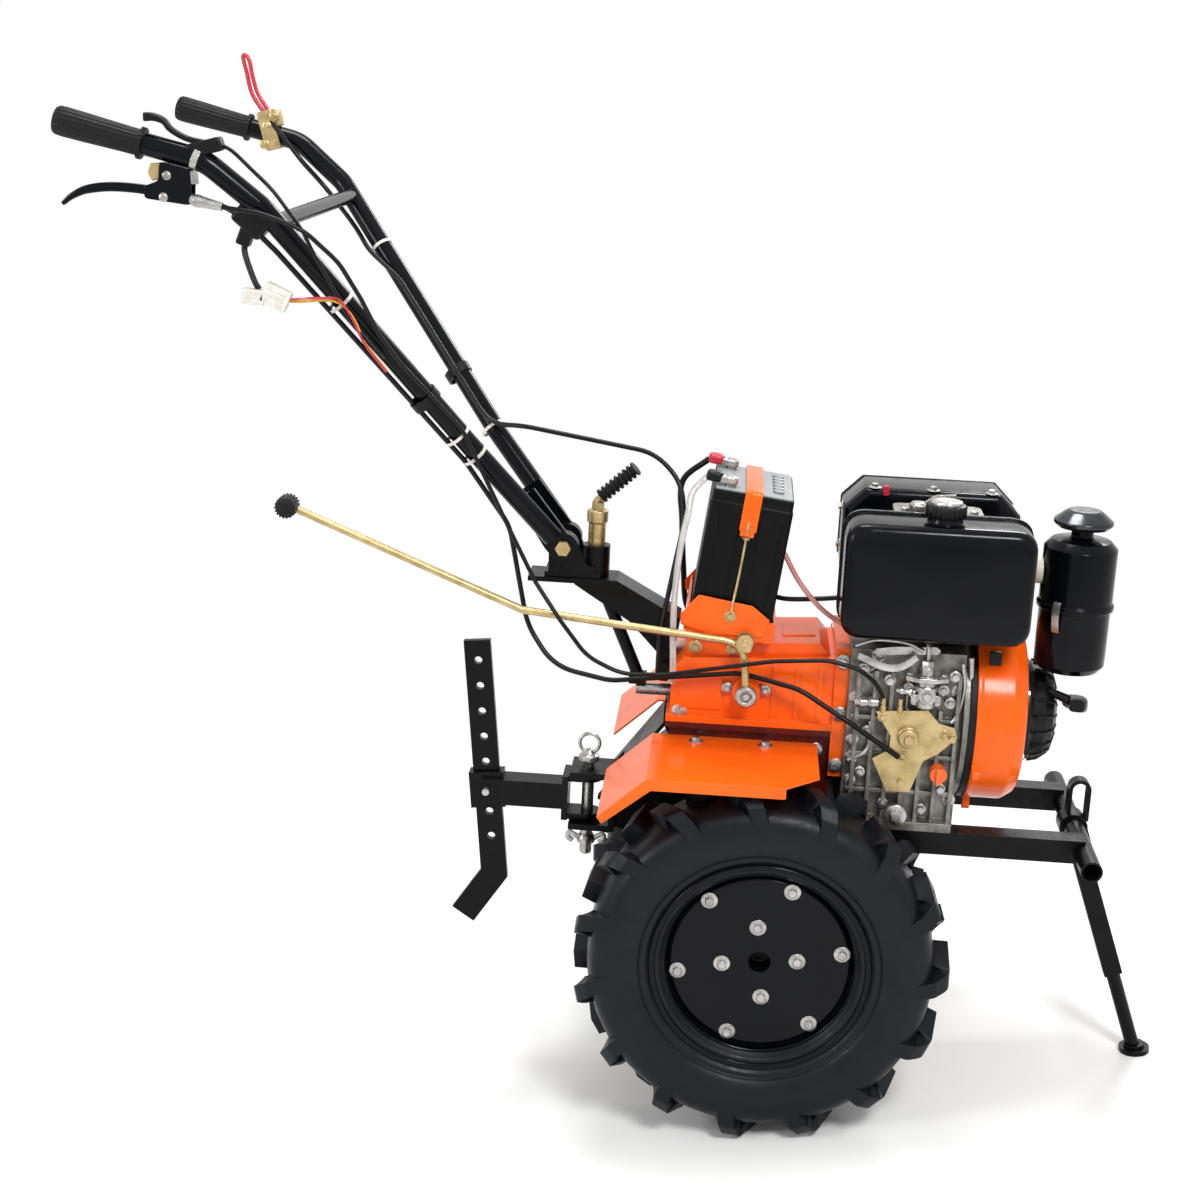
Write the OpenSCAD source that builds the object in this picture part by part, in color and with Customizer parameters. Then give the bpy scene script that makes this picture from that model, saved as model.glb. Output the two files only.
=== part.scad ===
// Walking tractor with a single-cylinder diesel engine, parked on its front stand.
// Millimetres. Every piece is drawn in the machine's own frame: origin on the wheel axle,
// X forward, Y to the machine's left, Z up along the gearbox. parked() then sets the machine
// on its wheels and stand, nose down, with the origin on the ground under the middle.

/* [Stance] */
// Nose-down pitch on the stand, degrees
nose_down = 6; // [5:0.5:7]

/* [Wheels] */
// Tyre diameter over the lugs
tyre_od = 590; // [570:5:600]
// Tyre section width
tyre_w = 146; // [138:1:148]
// Distance between the tyres' middle planes
track = 432; // [430:2:450]
// Bead seat diameter of the rim
rim_d = 304; // [298:1:308]
// Chevron lugs on each side of a tyre
lug_count = 15; // [12:1:16]
// Lug height above the carcass
lug_h = 24; // [18:1:26]
// Lug width along the tread
lug_w = 30; // [24:1:32]
// Half-shaft diameter
axle_d = 32; // [28:1:36]

/* [Gearbox] */
// Gearbox length along X
box_l = 257; // [250:1:262]
// Gearbox width
box_w = 180; // [174:1:184]
// Wall of the gearbox castings
box_wall = 12; // [9:1:14]

/* [Engine] */
// Crankshaft height above the axle
crank_h = 363; // [360:1:366]
// Crankcase width
case_w = 256; // [248:2:260]
// Fan housing radius
fan_r = 148; // [142:1:150]
// Recoil starter radius
recoil_r = 82; // [76:1:84]
// Fuel tank length
tank_l = 287; // [275:1:290]
// Fuel tank depth across the machine
tank_d = 125; // [115:1:126]
// Fuel tank height
tank_h = 180; // [170:1:182]
// Muffler length
muffler_l = 286; // [270:1:290]
// Air filter diameter
filter_d = 114; // [104:1:116]

/* [Battery] */
// Battery size along X
battery_l = 129; // [122:1:131]
// Battery size across the machine
battery_w = 197; // [180:1:200]
// Battery height
battery_h = 228; // [215:1:232]
// Forward lean of the battery and its tray, degrees
battery_lean = 7; // [6:0.5:8]

/* [Frame and stand] */
// Side of the square frame rails
rail = 38; // [34:1:40]
// Bumper tube diameter
bumper_d = 34; // [32:1:38]
// Bumper tube length
bumper_w = 410; // [390:5:430]
// Rake of the stand's leg ahead of the machine's vertical, degrees
stand_rake = 20; // [18:1:22]
// Side of the stand's square leg
leg_side = 30; // [26:1:32]
// Foot diameter
foot_d = 50; // [44:1:56]

/* [Handlebar] */
// Handle tube diameter
tube_d = 32; // [28:1:34]
// Handle tube wall
tube_wall = 2.5; // [2:0.25:3]
// Distance between the grips' axes
grip_span = 620; // [600:5:640]
// Grip length
grip_l = 126; // [110:1:136]
// Grip diameter
grip_d = 42; // [38:1:44]

/* [Hitch] */
// Hitch pin diameter
pin_d = 20; // [18:1:22]
// Depth bar width
bar_w = 44; // [40:1:46]
// Depth bar thickness
bar_t = 12; // [10:1:14]
// Depth bar hole diameter
hole_d = 13; // [11:0.5:14]
// Distance between depth bar holes
hole_pitch = 44; // [42:0.5:45]

/* [Hidden] */
$fn = 64;
ORANGE = "#E2531C";
MAROON = "#4A2A26";
BLACK = "#1B1C1E";
ALLOY = "#A9ABAA";
ZINC = "#C9B98A";
STEEL = "#B9BCBE";
RUBBER = "#222324";
GREY = "#8C9093";
RED = "#B5261E";

// Radial play of a shaft in its bore, and the gap between other moving faces
play = 0.05;
gap = 0.3;

// Wheels
wheel_r = tyre_od / 2;
tread_r = wheel_r - lug_h;
bead_r = rim_d / 2;
wheel_y = track / 2;
flange_r = bead_r + 20;
flange_y = 51;
disc_y = 24;
disc_r = bead_r - 10;

// Gearbox
box_x0 = 92 - box_l;
box_x1 = 92;
fender_h = wheel_r + 16;
seam_h = fender_h + 26;
box_top_h = seam_h + 105;
shaft_h = seam_h + 21;
tray_h = seam_h + 151;
battery_x = -80;
leg_top = seam_h - 77;
bell_low = seam_h - 75;
bell_high = seam_h + 137;
bell_x1 = 114;
case_y = 95;
shift_y = -box_w / 2 - 30;
shift_path = [
    [-46, shift_y, seam_h + 58], [-54, shift_y, seam_h + 143], [-402, shift_y, seam_h + 175],
    [-760, shift_y, seam_h + 315]
];

// Engine
case_x1 = 293;
fan_x0 = 312;
fan_x1 = 393;
recoil_x1 = 451;
louvres = 14;
rail_top = 193;
case_top = 480;
tank_x = 232;
tank_y = -185 + tank_d / 2;
tank_z = 515 + tank_h / 2;
muffler_x = 238;
muffler_y = 128;
muffler_z = 614;
filter_x = 461;
filter_y = -40;

// Frame and stand
rail_y = 115;
bumper_x = 502;
bumper_h = 171;
sleeve_l = 40;
pitch_lift = wheel_r - bumper_x * sin(nose_down) + bumper_h * cos(nose_down);
leg_l = pitch_lift / cos(stand_rake - nose_down);
foot_h = 8;

// Handlebar head, tilt bolt and tubes
post_x = -299;
post_d = 27;
tilt_x = -349;
base_h = seam_h + 208;
tilt_h = base_h + 52;
tilt_bolt_d = 14;
ear_y = 35.5;
ear_t = 8;
tube_y = ear_y + ear_t + tube_d / 2 - 1;
grip_y = grip_span / 2;
tube_path = [
    [tilt_x - 16, tube_y, tilt_h + 20], [tilt_x - 130, tube_y + 50, tilt_h + 154],
    [-774, grip_y - 20, 1127], [-852, grip_y - 2, 1190], [-1058, grip_y, 1236]
];
grip_end = tube_path[4];
grip_dir = unit(tube_path[4] - tube_path[3]);
cross_at = tube_path[2] - 28 * unit(tube_path[2] - tube_path[1]);
clutch_pivot = [-905, -grip_y, 1141];
clutch_tip = [-1056, -grip_y, 1120];
clutch_d = 10;
bracket_x = 36;
throttle_at = beside(tube_path[4], tube_path[3], 0.75, 21, [0, 0, 1]);
throttle_w = 24;

// The two control cables' routes, from lever to engine and to gearbox, and the segment of each
// route where it leaves the handle, passes the head and reaches the gearbox
DOWN = [0, 0, -1];
INWARD = [0, -1, 0];
right_path = mirrored(tube_path);
cable_d = 8;
cable_a = [
    clutch_pivot + [bracket_x + 1.7, 0, -3], beside(right_path[3], right_path[2], 0.7, 27, DOWN),
    beside(right_path[2], right_path[1], 0.12, 26, DOWN), beside(right_path[2], right_path[1], 0.98, 22, DOWN),
    [-430, -95, 640], [-398, -88, 480], [-352, -110, 420], [-261, -116, 404], [-57, -106, 427],
    [37, -128, 413], [118, -140, 367], [198, -case_w / 2 - 13.3, 316]
];
cable_b = [
    throttle_at - [0, throttle_w / 2 + cable_d / 2 + gap, 0], beside(tube_path[4], tube_path[3], 0.9, 24, INWARD),
    beside(tube_path[3], tube_path[2], 0.3, 28, DOWN + INWARD),
    beside(tube_path[3], tube_path[2], 0.8, 28, DOWN), beside(tube_path[2], tube_path[1], 0.14, 27, DOWN),
    beside(tube_path[2], tube_path[1], 0.26, 28, DOWN + INWARD),
    beside(tube_path[2], tube_path[1], 0.4, 24, INWARD), beside(tube_path[2], tube_path[1], 0.98, 22, INWARD),
    [-428, 60, 770], [-214, 40, 742], [-168, 24, 700], [-160, 6, 640], [-172, -24, 570], [-188, -60, 470],
    [-188, -76, 402], [box_x0 - gap, -76, 402]
];
cuts_a = [3, 4, 7];
cuts_b = [7, 8, 12];

// Hitch
pin_x = -296;
hitch_low = 117;
hitch_high = 217;
plate_t = 10;
bar_top = [-488, 0, 423];
bar_bend = [-448, 0, 15];
bar_tip = [-499, 0, -63];
bar_lean = atan2(bar_bend[0] - bar_top[0], bar_top[2] - bar_bend[2]);
draw_h = 167;
pinned_hole = 5;
first_hole = 34;
pinned_drop = first_hole + pinned_hole * hole_pitch;

// Middle of the parked machine along X, from its rearmost and foremost points
rear_x = fore(clutch_tip) - clutch_d / 2;
foot_at = [bumper_x + leg_l * sin(stand_rake), 0, bumper_h - leg_l * cos(stand_rake)];
front_x = fore(foot_at) + foot_d / 2;
x_mid = (rear_x + front_x) / 2;

// Unit vector along v
function unit(v) = v / norm(v);

// X of a machine point once parked, before the origin is centred
function fore(p) = p[0] * cos(nose_down) + p[2] * sin(nose_down);

// Turn of a path at corner i
function turn(p, i) = acos(max(-1, min(1, unit(p[i] - p[i - 1]) * unit(p[i + 1] - p[i]))));

// Point a fraction f of the way from a to b, moved square to that line by h towards w
function beside(a, b, f, h, w) =
    let (u = unit(b - a)) a + f * (b - a) + h * unit(w - (w * u) * u);

// Stretch of a route between the middles of segments i and j, or from or to its end, with a
// hair's gap at each cut
function mid(p, i) = (p[i] + p[i + 1]) / 2;
function stretch(p, i, j) = [
    if (i >= 0) mid(p, i) + 0.3 * unit(p[i + 1] - p[i]),
    for (k = [max(i + 1, 0):min(j, len(p) - 1)]) p[k],
    if (j < len(p) - 1) mid(p, j) - 0.3 * unit(p[j + 1] - p[j])
];

// A point seen from the side, and a list from its end
function side_of(p) = [p[0], p[2]];
function reversed(p) = [for (i = [len(p) - 1:-1:0]) p[i]];

// A path mirrored to the machine's other side
function mirrored(p) = [for (q = p) [q[0], -q[1], q[2]]];

// Sets the machine on its wheels and stand
module parked() {
    translate([-x_mid, 0, wheel_r]) rotate([0, nose_down, 0]) children();
}

// Turns a shape that points up so that it runs from a towards b
module towards(a, b) {
    v = b - a;
    translate(a) rotate([0, acos(v[2] / norm(v)), atan2(v[1], v[0])]) children();
}

module rod(a, b, d) {
    towards(a, b) cylinder(h = norm(b - a), d = d);
}

// Points round the corner i of a path, on an arc of radius r
function corner(p, i, r, n) =
    let (u = unit(p[i] - p[i - 1]), v = unit(p[i + 1] - p[i]), phi = turn(p, i))
    phi < 1 ? [p[i]] :
    let (k = unit(v - (u * v) * u), o = p[i] - u * r * tan(phi / 2) + k * r)
    [for (j = [0:n]) o - k * r * cos(phi * j / n) + u * r * sin(phi * j / n)];

// Path with its corners rounded
function rounded(p, r, n) =
    [p[0], for (i = [1:len(p) - 2]) each corner(p, i, r, n), p[len(p) - 1]];

// Direction of a path at each of its points, and a normal carried along it without twist
function headings(p) = [for (i = [0:len(p) - 1])
    unit((i == 0 ? [0, 0, 0] : unit(p[i] - p[i - 1]))
        + (i == len(p) - 1 ? [0, 0, 0] : unit(p[i + 1] - p[i])))];
function carried(t, i, n) = i == len(t) ? [] :
    let (m = unit(n - (n * t[i]) * t[i])) [m, each carried(t, i + 1, m)];

// Bent rod of diameter d along a path, with bends of radius r; a tube if bore is given
module pipe(path, d, r, bore = 0, sides = 10, steps = 4) {
    p = rounded(path, r, steps);
    t = headings(p);
    n = carried(t, 0, abs(t[0][2]) < 0.8 ? [0, 0, 1] : [1, 0, 0]);
    last = len(p) - 1;
    walls = bore > 0 ? [d / 2, bore / 2] : [d / 2];
    count = len(p) * sides;
    points = [for (w = walls, i = [0:last], j = [0:sides - 1])
        p[i] + w * (cos(360 * j / sides) * n[i] + sin(360 * j / sides) * cross(t[i], n[i]))];
    skin = [for (i = [0:last - 1], j = [0:sides - 1])
        let (a = i * sides + j, b = i * sides + (j + 1) % sides)
        each [[a, a + sides, b + sides], [a, b + sides, b]]];
    inner = [for (f = skin) [f[2] + count, f[1] + count, f[0] + count]];
    ends = [for (j = [0:sides - 1]) let (k = (j + 1) % sides, e = last * sides)
        each [
            [j, k, k + count], [j, k + count, j + count],
            [e + k, e + j, e + j + count], [e + k, e + j + count, e + k + count]
        ]];
    caps = [[for (j = [0:sides - 1]) j], [for (j = [0:sides - 1]) last * sides + sides - 1 - j]];
    polyhedron(points, bore > 0 ? concat(skin, inner, ends) : concat(skin, caps));
}

// Side-view outline (X, Z) given a width across the machine
module slab(w) {
    rotate([90, 0, 0]) linear_extrude(height = w, center = true) children();
}

// Cylinder along Y, from y0 to y1
module across(x, y0, y1, z, d) {
    translate([x, y0, z]) rotate([-90, 0, 0]) cylinder(h = y1 - y0, d = d);
}

// Cylinder along X, from x0 to x1
module along(x0, x1, y, z, d) {
    translate([x0, y, z]) rotate([0, 90, 0]) cylinder(h = x1 - x0, d = d);
}

// Box between two corners
module block(a, b) {
    translate(a) cube(b - a);
}

// Rounded rectangle, l by h, centred
module round_rect(l, h, r) {
    square([l - 2 * r, h], center = true);
    square([l, h - 2 * r], center = true);
    for (x = [-1, 1], y = [-1, 1]) translate([x * (l / 2 - r), y * (h / 2 - r)]) circle(r);
}

// Gearbox and what it carries

module gearbox_upper() {
    color(ORANGE) parked() {
        difference() {
            union() {
                slab(box_w) polygon([
                    [box_x0, seam_h], [box_x0, seam_h + 83], [box_x0 + 18, box_top_h],
                    [box_x1, seam_h + 118], [box_x1, seam_h]
                ]);
                block([box_x0 - 6, -box_w / 2 - 8, seam_h], [box_x1, box_w / 2 + 8, seam_h + 10]);
                slab(box_w + 5) polygon([
                    [box_x0 + 14, seam_h + 22], [box_x0 + 14, seam_h + 76], [box_x0 + 27, seam_h + 92],
                    [-84, seam_h + 96], [-84, seam_h + 22]
                ]);
                slab(box_w + 5) for (x = [-2, 34, 70])
                    translate([x, seam_h + 58]) square([7, 84], center = true);
            }
            slab(box_w - 2 * box_wall) polygon([
                [box_x0 + box_wall, seam_h - 1], [box_x0 + box_wall, seam_h + 80],
                [box_x0 + 24, seam_h + 93], [box_x1 - box_wall, seam_h + 104],
                [box_x1 - box_wall, seam_h - 1]
            ]);
        }
        across(shift_path[0][0], -box_w / 2 - 12, -box_w / 2 + 1, shift_path[0][2], 44);
        across(-12, -box_w / 2 - 6, -box_w / 2 + 1, seam_h + 71, 22);
    }
}

// Rear and front faces of the gearbox's leg at height z
function leg_rear(z) = -78 - z / 26;
function leg_front(z) = 78 + z / 20;

module gearbox_lower() {
    color(MAROON) parked() difference() {
        union() {
            slab(box_w - 8) polygon([
                [box_x0, seam_h], [box_x0, seam_h - 47], [-110, seam_h - 101], [96, seam_h - 121],
                [box_x1, bell_low], [box_x1, seam_h]
            ]);
            block([box_x0 - 6, -box_w / 2 - 8, seam_h - 10], [box_x1, box_w / 2 + 8, seam_h]);
            slab(110) polygon([
                [leg_rear(leg_top), leg_top], [leg_rear(0), 0], [leg_front(0), 0],
                [leg_front(leg_top - 20), leg_top - 20]
            ]);
            across(0, -55, 55, 0, 164);
            across(0, -case_y, case_y, 0, axle_d + 36);
            for (y = [-1, 1], x = [-60, 0, 60])
                block([x - 4, y * 70 - 18, 160], [x + 4, y * 70 + 18, leg_top - 10]);
        }
        slab(box_w - 8 - 2 * box_wall) polygon([
            [box_x0 + box_wall, seam_h + 1], [box_x0 + box_wall, seam_h - 39], [-104, seam_h - 87],
            [84, seam_h - 105], [box_x1 - box_wall, bell_low + 2], [box_x1 - box_wall, seam_h + 1]
        ]);
        slab(110 - 2 * box_wall) polygon([[-74, leg_top + 2], [-62, 40], [62, 40], [74, leg_top + 2]]);
        across(0, -case_y - 1, case_y + 1, 0, axle_d + 2 * play);
    }
}

module gearbox_cover() {
    color(ORANGE) parked() {
        slab(box_w - 28) polygon([
            [box_x0 + 18, box_top_h], [box_x0 + 20, seam_h + 126], [-13, seam_h + 133],
            [66, seam_h + 138], [84, seam_h + 117.6]
        ]);
        translate([34, 0, seam_h + 135]) rotate([0, -4, 0]) cube([52, 70, 6], center = true);
        translate([-92, 0, seam_h + 118]) cylinder(h = 22, d = 46);
    }
}

module clutch_housing() {
    color(ORANGE) parked() {
        block([box_x1, -98, bell_low], [bell_x1, 98, bell_high]);
        for (y = [-1, 1], z = [bell_low + 20, (bell_low + bell_high) / 2, bell_high - 20])
            across(103, y * 98 - 4, y * 98 + 4, z, 18);
    }
}

module gear_lever() {
    color(ZINC) parked() {
        across(shift_path[0][0], shift_y - 6, -box_w / 2 - 12, shift_path[0][2], 26);
        pipe(shift_path, 12, 24);
    }
}

module gear_knob() {
    a = shift_path[3];
    d = unit(a - shift_path[2]);
    color(BLACK) parked() {
        rod(a, a + 44 * d, 30);
        for (i = [0:3]) rod(a + (4 + 10 * i) * d, a + (9 + 10 * i) * d, 34);
    }
}

module rear_shaft() {
    color(STEEL) parked() along(-224, box_x0, 0, shaft_h, 20);
}

// Mudguard over one wheel, s is -1 on the right
module fender(s) {
    y0 = s * (box_w / 2 - 4);
    y1 = s * (wheel_y + tyre_w / 2 + 10);
    lo = min(y0, y1);
    hi = max(y0, y1);
    top = fender_h;
    difference() {
        union() {
            translate([0, (lo + hi) / 2, 0]) slab(hi - lo) polygon([
                [-262, top - 66], [-190, top], [72, top], [72, top - 3], [-188.8, top - 3],
                [-260, top - 68.2]
            ]);
            translate([0, y1 - s * 1.5, 0]) slab(3) polygon([
                [-262, top - 66], [-190, top], [72, top], [72, top - 18], [-182, top - 18],
                [-254, top - 76]
            ]);
            block([-150, min(y0, y0 + s * 3), top - 44], [60, max(y0, y0 + s * 3), top]);
        }
        translate([72, y1, top - 40]) rotate([0, 0, 45]) cube([76, 76, 120], center = true);
    }
}

module right_fender() {
    color(ORANGE) parked() fender(-1);
}

module left_fender() {
    color(ORANGE) parked() fender(1);
}

module rear_guard() {
    color(BLACK) parked() difference() {
        slab(124) polygon([
            [box_x0 - 6, seam_h + 8], [box_x0 - 10, seam_h + 8], [box_x0 - 10, seam_h - 15], [-276, 184],
            [-272, 181], [box_x0 - 6, seam_h - 20]
        ]);
        block([-340, -40.3, 60], [-200, 40.3, 234]);
    }
}

module hitch_bracket() {
    color(BLACK) parked() difference() {
        union() {
            for (z = [hitch_low, hitch_high - plate_t])
                block([pin_x - 28, -40, z], [-248, 40, z + plate_t]);
            block([-258, -40, hitch_low], [-248, 40, hitch_high]);
            slab(70) polygon([
                [-250, 126], [-250, 210], [-112, seam_h - 106], [leg_rear(seam_h - 106) - gap, seam_h - 106],
                [leg_rear(90) - gap, 90]
            ]);
        }
        translate([pin_x, 0, hitch_low - 1]) cylinder(h = hitch_high, d = pin_d);
    }
}

module hitch_pin() {
    color(STEEL) parked() {
        translate([pin_x, 0, 62]) cylinder(h = 176, d = pin_d);
        translate([pin_x, 0, 226]) cylinder(h = 12, d = pin_d + 14);
        translate([pin_x, 0, 256]) rotate([90, 0, 0]) rotate_extrude() translate([17, 0]) circle(d = 6);
        translate([pin_x, 0, 84]) cylinder(h = 14, d = pin_d + 12);
    }
}

module handle_arm() {
    color(BLACK) parked() difference() {
        union() {
            slab(64) polygon([
                [-330, base_h], [-330, base_h - 10], [-238, base_h - 67], [-186, seam_h + 87],
                [-186, seam_h + 45], [box_x0 - gap, seam_h + 45], [box_x0 - gap, seam_h + 85],
                [-157, seam_h + 151], [-262, base_h]
            ]);
            block([-405, -34, base_h - 8], [-262, 34, base_h]);
            rod([-285, 0, base_h - 23], [-222, 0, shaft_h + 22], 20);
            block([-236, -14, shaft_h + 10 + gap], [-208, 14, shaft_h + 26]);
        }
        slab(52) polygon([
            [-322, base_h - 9], [-234, base_h - 59], [-176, seam_h + 89], [-166, seam_h + 147],
            [-268, base_h - 9]
        ]);
    }
}

module clamp_post() {
    color(ZINC) parked() {
        translate([post_x, 0, base_h]) cylinder(h = 103, d = post_d);
        translate([post_x, 0, base_h + 88]) cylinder(h = 20, d = 40);
        translate([post_x, 0, base_h + 103]) cylinder(h = 20, d = 20, $fn = 6);
        pipe([
            [post_x, 0, base_h + 115], [post_x + 16, -6, base_h + 131], [post_x + 46, -14, base_h + 171]
        ], 10, 12);
    }
}

// Battery and its tray

// Height of the gearbox's top face, and of the tray's underside, at x
function box_top(x) = box_top_h + 13 * (x - box_x0 - 18) / (box_x1 - box_x0 - 18);
function tray_low(x) = tray_h - 4 / cos(battery_lean) - (x - battery_x) * tan(battery_lean) + 1;

module leaned() {
    translate([battery_x, 0, tray_h]) rotate([0, battery_lean, 0]) children();
}

module battery_tray() {
    l = battery_l + 12;
    w = battery_w + 12;
    color(ORANGE) parked() {
        leaned() difference() {
            translate([-l / 2, -w / 2, -4]) cube([l, w, 34]);
            translate([-battery_l / 2 - 2, -battery_w / 2 - 2, 0])
                cube([battery_l + 4, battery_w + 4, 50]);
        }
        for (s = [-1, 1]) translate([0, s * (box_w / 2 - 10), 0]) slab(4) polygon([
            [-142, box_top(-142) + 0.2], [-148, tray_low(-148)], [-22, tray_low(-22)],
            [-54, box_top(-54) + 0.2]
        ]);
    }
}

module battery() {
    color(BLACK) parked() leaned() {
        translate([-battery_l / 2, -battery_w / 2, 0]) cube([battery_l, battery_w, battery_h - 18]);
        translate([-battery_l / 2 + 3, -battery_w / 2 + 3, battery_h - 18])
            cube([battery_l - 6, battery_w - 6, 18]);
        for (s = [-1, 1], i = [-1.5:1.5])
            translate([i * battery_l / 4, s * battery_w / 2, battery_h / 2 + 6])
                cube([3, 3, battery_h - 90], center = true);
        for (y = [-1, 1]) translate([-battery_l / 2 + 26, y * (battery_w / 2 - 30), battery_h - 1])
            cylinder(h = 14, d = 17);
    }
}

module battery_clamp() {
    drop = 44;
    color(ORANGE) parked() leaned() {
        translate([-14, -battery_w / 2 - 5, battery_h]) cube([28, battery_w + 10, 5]);
        for (s = [-1, 1]) {
            translate([-14, s * (battery_w / 2 + 3.5) - 1.5, battery_h - drop]) cube([28, 3, drop + 5]);
            translate([0, s * (battery_w / 2 + 4), 30.2]) cylinder(h = battery_h - drop - 20, d = 4);
        }
    }
}

// Engine

module crankcase() {
    y = case_w / 2;
    color(ALLOY) parked() difference() {
        union() {
            block([bell_x1, -y + 18, rail_top], [case_x1, y - 18, case_top]);
            block([bell_x1 + 4, -y - 8, rail_top], [case_x1 - 4, y + 8, rail_top + 14]);
            for (i = [0:6]) {
                x = bell_x1 + 14 + i * 26;
                block([x - 3, -y, rail_top + 14], [x + 3, y, case_top - 30]);
            }
            for (i = [1:3]) {
                z = rail_top + 60 * i;
                block([bell_x1 + 6, -y + 4, z - 3], [case_x1 - 6, y - 4, z + 3]);
            }
            along(case_x1, fan_x0, 0, crank_h, 2 * fan_r - 10);
            along(bell_x1, bell_x1 + 12, 0, crank_h, 2 * (y - 14));
        }
        translate([0, 0, -500 + rail_top]) cube([2000, 2000, 1000], center = true);
        block([205, -y - 20, 391], [261, -y + 18, case_top - 20]);
    }
}

module cylinder_block() {
    color(ALLOY) parked() {
        block([166, -46, case_top], [286, 46, 640]);
        for (i = [0:8]) block([152, -57, case_top + 8 + 17 * i], [292, 57, case_top + 13 + 17 * i]);
    }
}

module valve_cover() {
    color(ALLOY) parked() {
        block([160, -50, 640], [312, 50, 652]);
        translate([240, 0, 652]) linear_extrude(height = 31) round_rect(140, 84, 16);
    }
}

module control_plate() {
    y = -case_w / 2 - 6;
    color(ZINC) parked() {
        translate([0, y - 1.5, 0]) slab(3) polygon([
            [157, 388], [238, 394], [256, 374], [281, 368], [286, 352], [258, 324], [237, 311],
            [219, 258], [183, 257], [157, 310], [182, 326], [183, 349]
        ]);
        across(210, y - 16, y + 6, 349, 26);
        across(278, y - 14, y + 6, 352, 10);
        across(204, y - 10, y + 6, 274, 10);
    }
}

module injection_pump() {
    y = -case_w / 2 + 18;
    color(STEEL) parked() {
        block([208, y - 26, 394], [258, y - 0.2, 442]);
        translate([232, y - 14, 441]) cylinder(h = 24, d = 24);
        pipe([[232, y - 14, 460], [232, y - 14, 492], [232, y, 502], [232, -58, 502]], 7, 8, 0, 8, 3);
    }
}

module oil_cap() {
    color(ORANGE) parked() {
        across(261, -case_w / 2 - 22, -case_w / 2, 293, 26);
        block([257, -case_w / 2 - 30, 280], [265, -case_w / 2 - 20, 306]);
    }
}

module fan_housing() {
    color(ORANGE) parked() difference() {
        union() {
            along(fan_x0, fan_x1 - 14, 0, crank_h, 2 * fan_r);
            along(fan_x1 - 14, fan_x1, 0, crank_h, 2 * fan_r - 24);
            block([fan_x0, -64, crank_h + 60], [fan_x1 - 14, 64, 500]);
        }
        along(fan_x0 - 1, fan_x1 - 18, 0, crank_h, 2 * fan_r - 8);
        along(fan_x0, fan_x1 + 1, 0, crank_h, 2 * recoil_r - 20);
        block([fan_x0 - 1, -60, crank_h + 60], [fan_x1 - 18, 60, 496]);
    }
}

// Recoil cover: outside from its nose to its rim
recoil_out = [
    [0, recoil_x1 - fan_x1], [recoil_r * 0.55, recoil_x1 - fan_x1], [recoil_r * 0.86, 44], [recoil_r, 22],
    [recoil_r + 4, 0]
];

module recoil_turned(outline) {
    translate([fan_x1, 0, crank_h]) rotate([0, 90, 0]) rotate_extrude() polygon(outline);
}

module recoil_starter() {
    color(BLACK) parked() difference() {
        recoil_turned(concat(recoil_out, [
            [recoil_r - 4, 0], [recoil_r - 4, 20], [recoil_r * 0.82, 40],
            [recoil_r * 0.5, recoil_x1 - fan_x1 - 6], [0, recoil_x1 - fan_x1 - 6]
        ]));
        for (i = [0:louvres - 1]) translate([fan_x1 + 20, 0, crank_h]) rotate([360 * (i + 0.5) / louvres, 0, 0])
            translate([0, recoil_r * 0.56, -3]) cube([60, recoil_r * 0.22, 6]);
    }
}

module recoil_handle() {
    a = [fan_x1 + 30, -50, crank_h + 52];
    b = [474, -66, crank_h + 36];
    color(BLACK) parked() {
        difference() {
            rod(a, b, 12);
            recoil_turned(concat(recoil_out, [[0, 0]]));
        }
        rod(b - [2, 34, -6], b - [-2, -34, 6], 22);
    }
}

module fuel_tank() {
    color(BLACK) parked() translate([tank_x, tank_y, tank_z]) difference() {
        union() {
            slab(tank_d) round_rect(tank_l, tank_h, 34);
            translate([0, 26, 0]) slab(3) round_rect(tank_l + 7, tank_h + 7, 37);
            translate([6, -8, tank_h / 2 - 6]) cylinder(h = 14, d = 52);
            for (x = [-70, 40]) block([x - 14, tank_d / 2 - 4, case_top - tank_z],
                [x + 14, tank_d / 2, -tank_h / 2 + 30]);
        }
        slab(tank_d - 5) round_rect(tank_l - 5, tank_h - 5, 31.5);
        translate([6, -8, 0]) cylinder(h = tank_h, d = 46);
    }
}

module fuel_cap() {
    color(BLACK) parked() translate([tank_x + 6, tank_y - 8, tank_z + tank_h / 2 + 8]) {
        cylinder(h = 18, d = 63);
        translate([0, 0, 18]) cylinder(h = 6, d = 40);
    }
}

// Muffler's side outline, moved in by m
function muffler_side(m) = let (l = muffler_l / 2 - m, h = 84 - m, c = 34 - 0.6 * m) [
    [-l, c - h], [c - l, -h], [l - c, -h], [l, c - h], [l, h - c], [l - c, h], [c - l, h], [-l, h - c]
];

module muffler() {
    l = muffler_l / 2;
    color(BLACK) parked() translate([muffler_x, muffler_y, muffler_z]) difference() {
        union() {
            slab(124) polygon(muffler_side(1.5));
            for (y = [-48, 48]) translate([0, y, 0]) slab(5) polygon(muffler_side(0));
            translate([0, 0, -100]) cylinder(h = 24, d = 44);
            block([-40, 57.2 - muffler_y, -74], [40, -60, -40]);
        }
        slab(118) polygon(muffler_side(4));
        along(l - 30, l + 10, 20, 10, 30);
    }
}

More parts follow.
